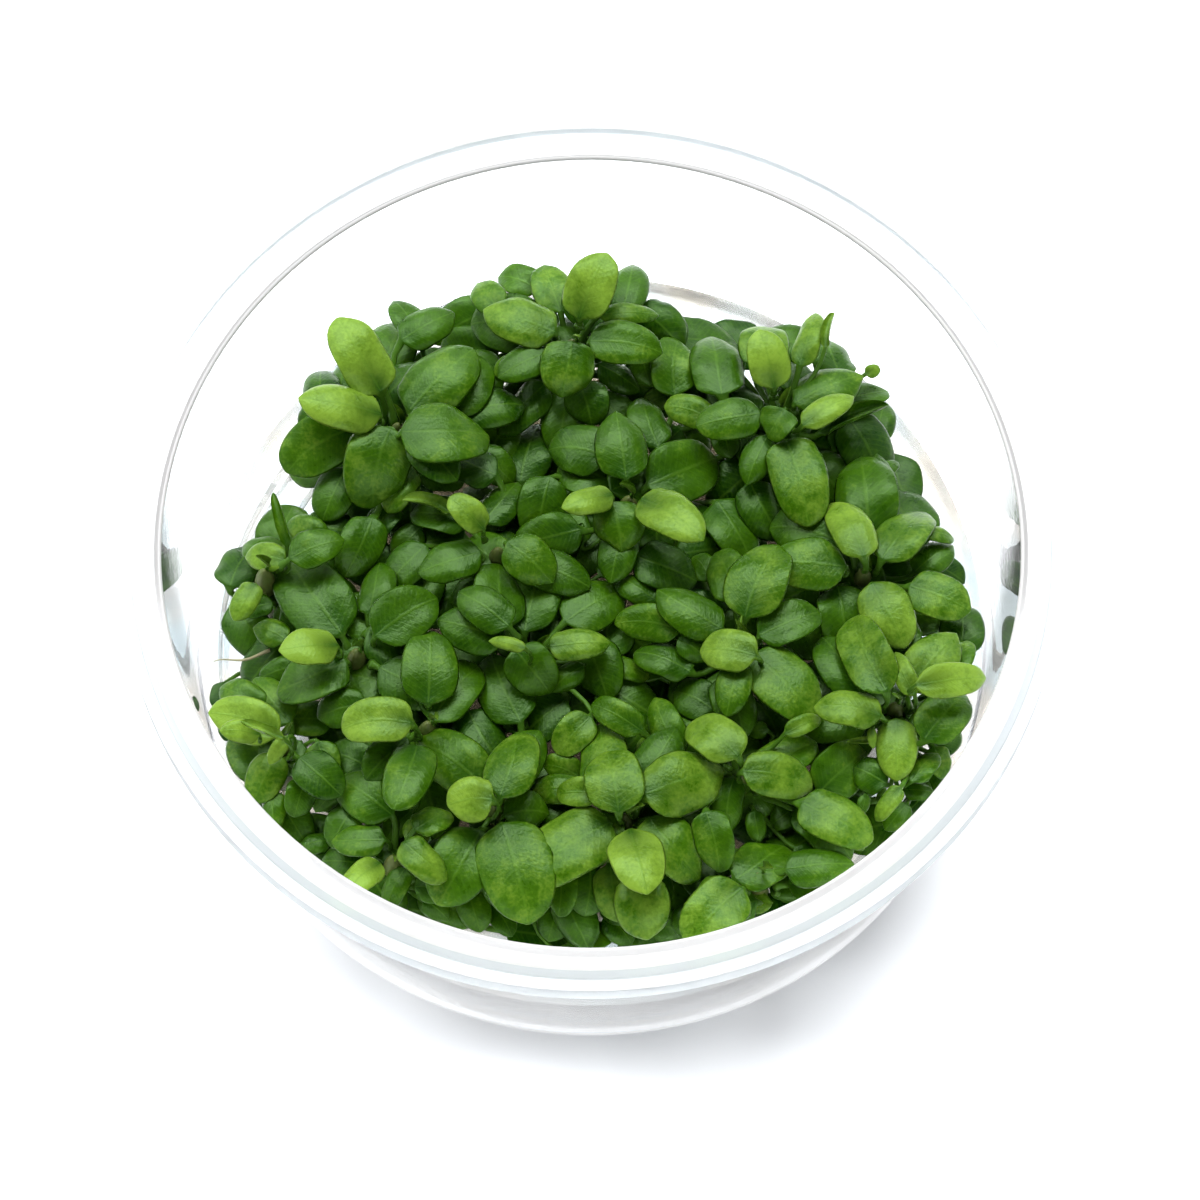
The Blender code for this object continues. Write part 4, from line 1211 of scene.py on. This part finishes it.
def growIntoGaps(names, axes, shoots, shoulder):
    # older leaves reach on longer stalks to where the light still falls between the rosettes
    cell, slope = gapSettings["cell"] * mm, math.tan(math.radians(viewSettings["tilt"]))
    steps = int(1.2 * mouthRadius / cell)
    hidden = set().union(*netCells)
    spread = range(-steps, steps + 1)
    clump = [
        (i, j)
        for i in spread
        for j in spread
        if insideOutline(i * cell / mm, j * cell / mm)
        and all(math.hypot(i * cell / mm - x, j * cell / mm - y) > radius for x, y, radius in clumpHoles)
    ]
    for layer in fillLayers:
        bare = [spot for spot in clump if spot not in hidden]
        random.shuffle(bare)
        for spot in bare:
            if spot in hidden:
                continue
            height = (layer["height"] + random.uniform(-0.2, 0.5) * (1 if layer["flat"] else 2)) * mm
            place = Vector((spot[0] * cell, spot[1] * cell - (height - gelLevel) * slope))
            near = sorted(names, key=lambda name: (place - axes[name].xy).length)[: gapSettings["plantsTried"]]
            for name in near * gapSettings["tries"]:
                away = place - axes[name].xy
                length = random.uniform(*layer["length"]) * mm
                heading = math.atan2(away.y, away.x) + random.uniform(-1.2, 1.2)
                half = length / 2 * Vector((math.cos(heading), math.sin(heading)))
                foot = place - half
                tipX, tipY = spot[0] * cell + half.x, spot[1] * cell + half.y
                if not insideOutline(tipX / mm, tipY / mm):
                    continue
                if not 1.5 * mm < (foot - axes[name].xy).length < layer["reach"] * mm:
                    continue
                figure = leafFigure(
                    Vector((foot.x, foot.y, height)),
                    math.degrees(heading),
                    length,
                    length * random.uniform(0.66, 0.82),
                    random.uniform(*layer["tone"]),
                    axes[name],
                    shoulder,
                )
                if layer["flat"]:
                    # the lowest leaves lie flat just over the gel, where little light reaches them
                    figure.update(
                        baseSlope=random.uniform(2, 10),
                        tipSlope=random.uniform(-12, -2),
                        curl=random.uniform(0.1, 0.4),
                        fold=0.0,
                        roll=random.uniform(-5, 5),
                        hook=0,
                    )
                leaf = findRoom(figure, 1)
                if leaf:
                    shoots[name].append(leaf)
                    hidden |= netCells[-1]
                    break
        print("gaps filled at", layer["height"], "mm:", len(grownLeaves), "still bare:", len(set(clump) - hidden))


def growPlantlets():
    names = sorted(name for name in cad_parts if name.startswith("plantlet_") and "leaf" not in name)
    axes = {name: plantletAxis(name) for name in names}
    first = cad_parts[names[0]].data.vertices
    crown = max(v.co.z for v in first if (v.co.xy - axes[names[0]].xy).length < 0.4 * mm)
    shoulder = crown - 2.0 * mm
    shoots = {name: [] for name in names}
    for number, name in enumerate(names, 1):
        leaves = sorted(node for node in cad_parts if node.startswith(name + "_leaf"))
        for node, tone in zip(leaves, largeTones[number]):
            points = [v.co.copy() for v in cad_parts[node].data.vertices]
            leaf = readLeaf(points, axes[name], 0.40, tone, shoulder)
            keepNet(testNet(leaf))
            piece = growLeaf(f"anubias_{number:02d}_{node[-6:]}", leaf)
            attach(piece, "root")
            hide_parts(node)
    print("large leaves done", len(grownLeaves))
    for x, y, height, heading, length, width, tone in measuredLeaves:
        foot = Vector((x, y, height)) * mm
        behind = foot.xy - 4 * mm * Vector((math.cos(math.radians(heading)), math.sin(math.radians(heading))))
        name = min(names, key=lambda name: (behind - axes[name].xy).length)
        figure = leafFigure(foot, heading, length * mm, width * mm, tone, axes[name], shoulder)
        leaf = findRoom(figure, shootSettings["turns"])
        if leaf:
            shoots[name].append(leaf)
    print("measured leaves done", len(grownLeaves), "of", 40 + len(measuredLeaves))
    for number, name in enumerate(names, 1):
        foot = axes[name] + Vector((0.5 * mm, 0.3 * mm, shoulder + 2.6 * mm))
        spike = leafFigure(
            foot,
            137.5 * number,
            random.uniform(*spikeForm["length"]) * mm,
            spikeForm["width"] * mm,
            random.uniform(*spikeForm["tone"]),
            axes[name],
            shoulder,
        )
        spike.update(baseSlope=74, tipSlope=52, hook=5)
        leaf = findRoom(spike, 6)
        if leaf:
            shoots[name].append(leaf)
    print("spikes done", len(grownLeaves))
    for name in names:
        for group in smallLeafGroups(name, axes[name]):
            leaf = findRoom(readLeaf(group, axes[name], 0.5, random.uniform(0.2, 0.5), shoulder), 2)
            if leaf:
                shoots[name].append(leaf)
    print("small leaves done", len(grownLeaves))
    growIntoGaps(names, axes, shoots, shoulder)
    stemMesh, rootMesh = modelRhizome(shoulder), modelRootTube()
    for number, name in enumerate(names, 1):
        axis = axes[name]
        parts = [growLeaf("leaf", leaf) for leaf in shoots[name]]
        stem = bpy.data.objects.new(f"anubias_{number:02d}_shoot", stemMesh.copy())
        bpy.context.scene.collection.objects.link(stem)
        for vertex in stem.data.vertices:
            vertex.co += axis
        for i in range(rhizomeForm["rootCount"]):
            start = Vector((axis.x, axis.y, gelLevel - random.uniform(0.3, 1.4) * mm))
            room = (innerRadius(gelLevel) - start.xy.length) * 0.7
            length = min(random.uniform(6, 12) * mm, max(room, 4 * mm))
            parts.append(
                layRoot(
                    rootMesh,
                    start,
                    random.uniform(0, 360),
                    length,
                    random.uniform(3, 8) * mm,
                    random.uniform(-2, 2) * mm,
                )
            )
        if number == strayRoot["plantlet"]:
            fall, sway = strayRoot["fall"] * mm, strayRoot["sway"] * mm
            start = Vector(strayRoot["start"]) * mm
            parts.append(layRoot(rootMesh, start, strayRoot["heading"], strayRoot["length"] * mm, fall, sway))
        bpy.ops.object.select_all(action="DESELECT")
        for part in parts:
            part.select_set(True)
        stem.select_set(True)
        bpy.context.view_layer.objects.active = stem
        bpy.ops.object.join()
        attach(stem, "root")
        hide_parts(name)
    print("plantlets done", len(names))


setView()
setLight()
buildFloor()
buildCup()
buildGel()
growPlantlets()
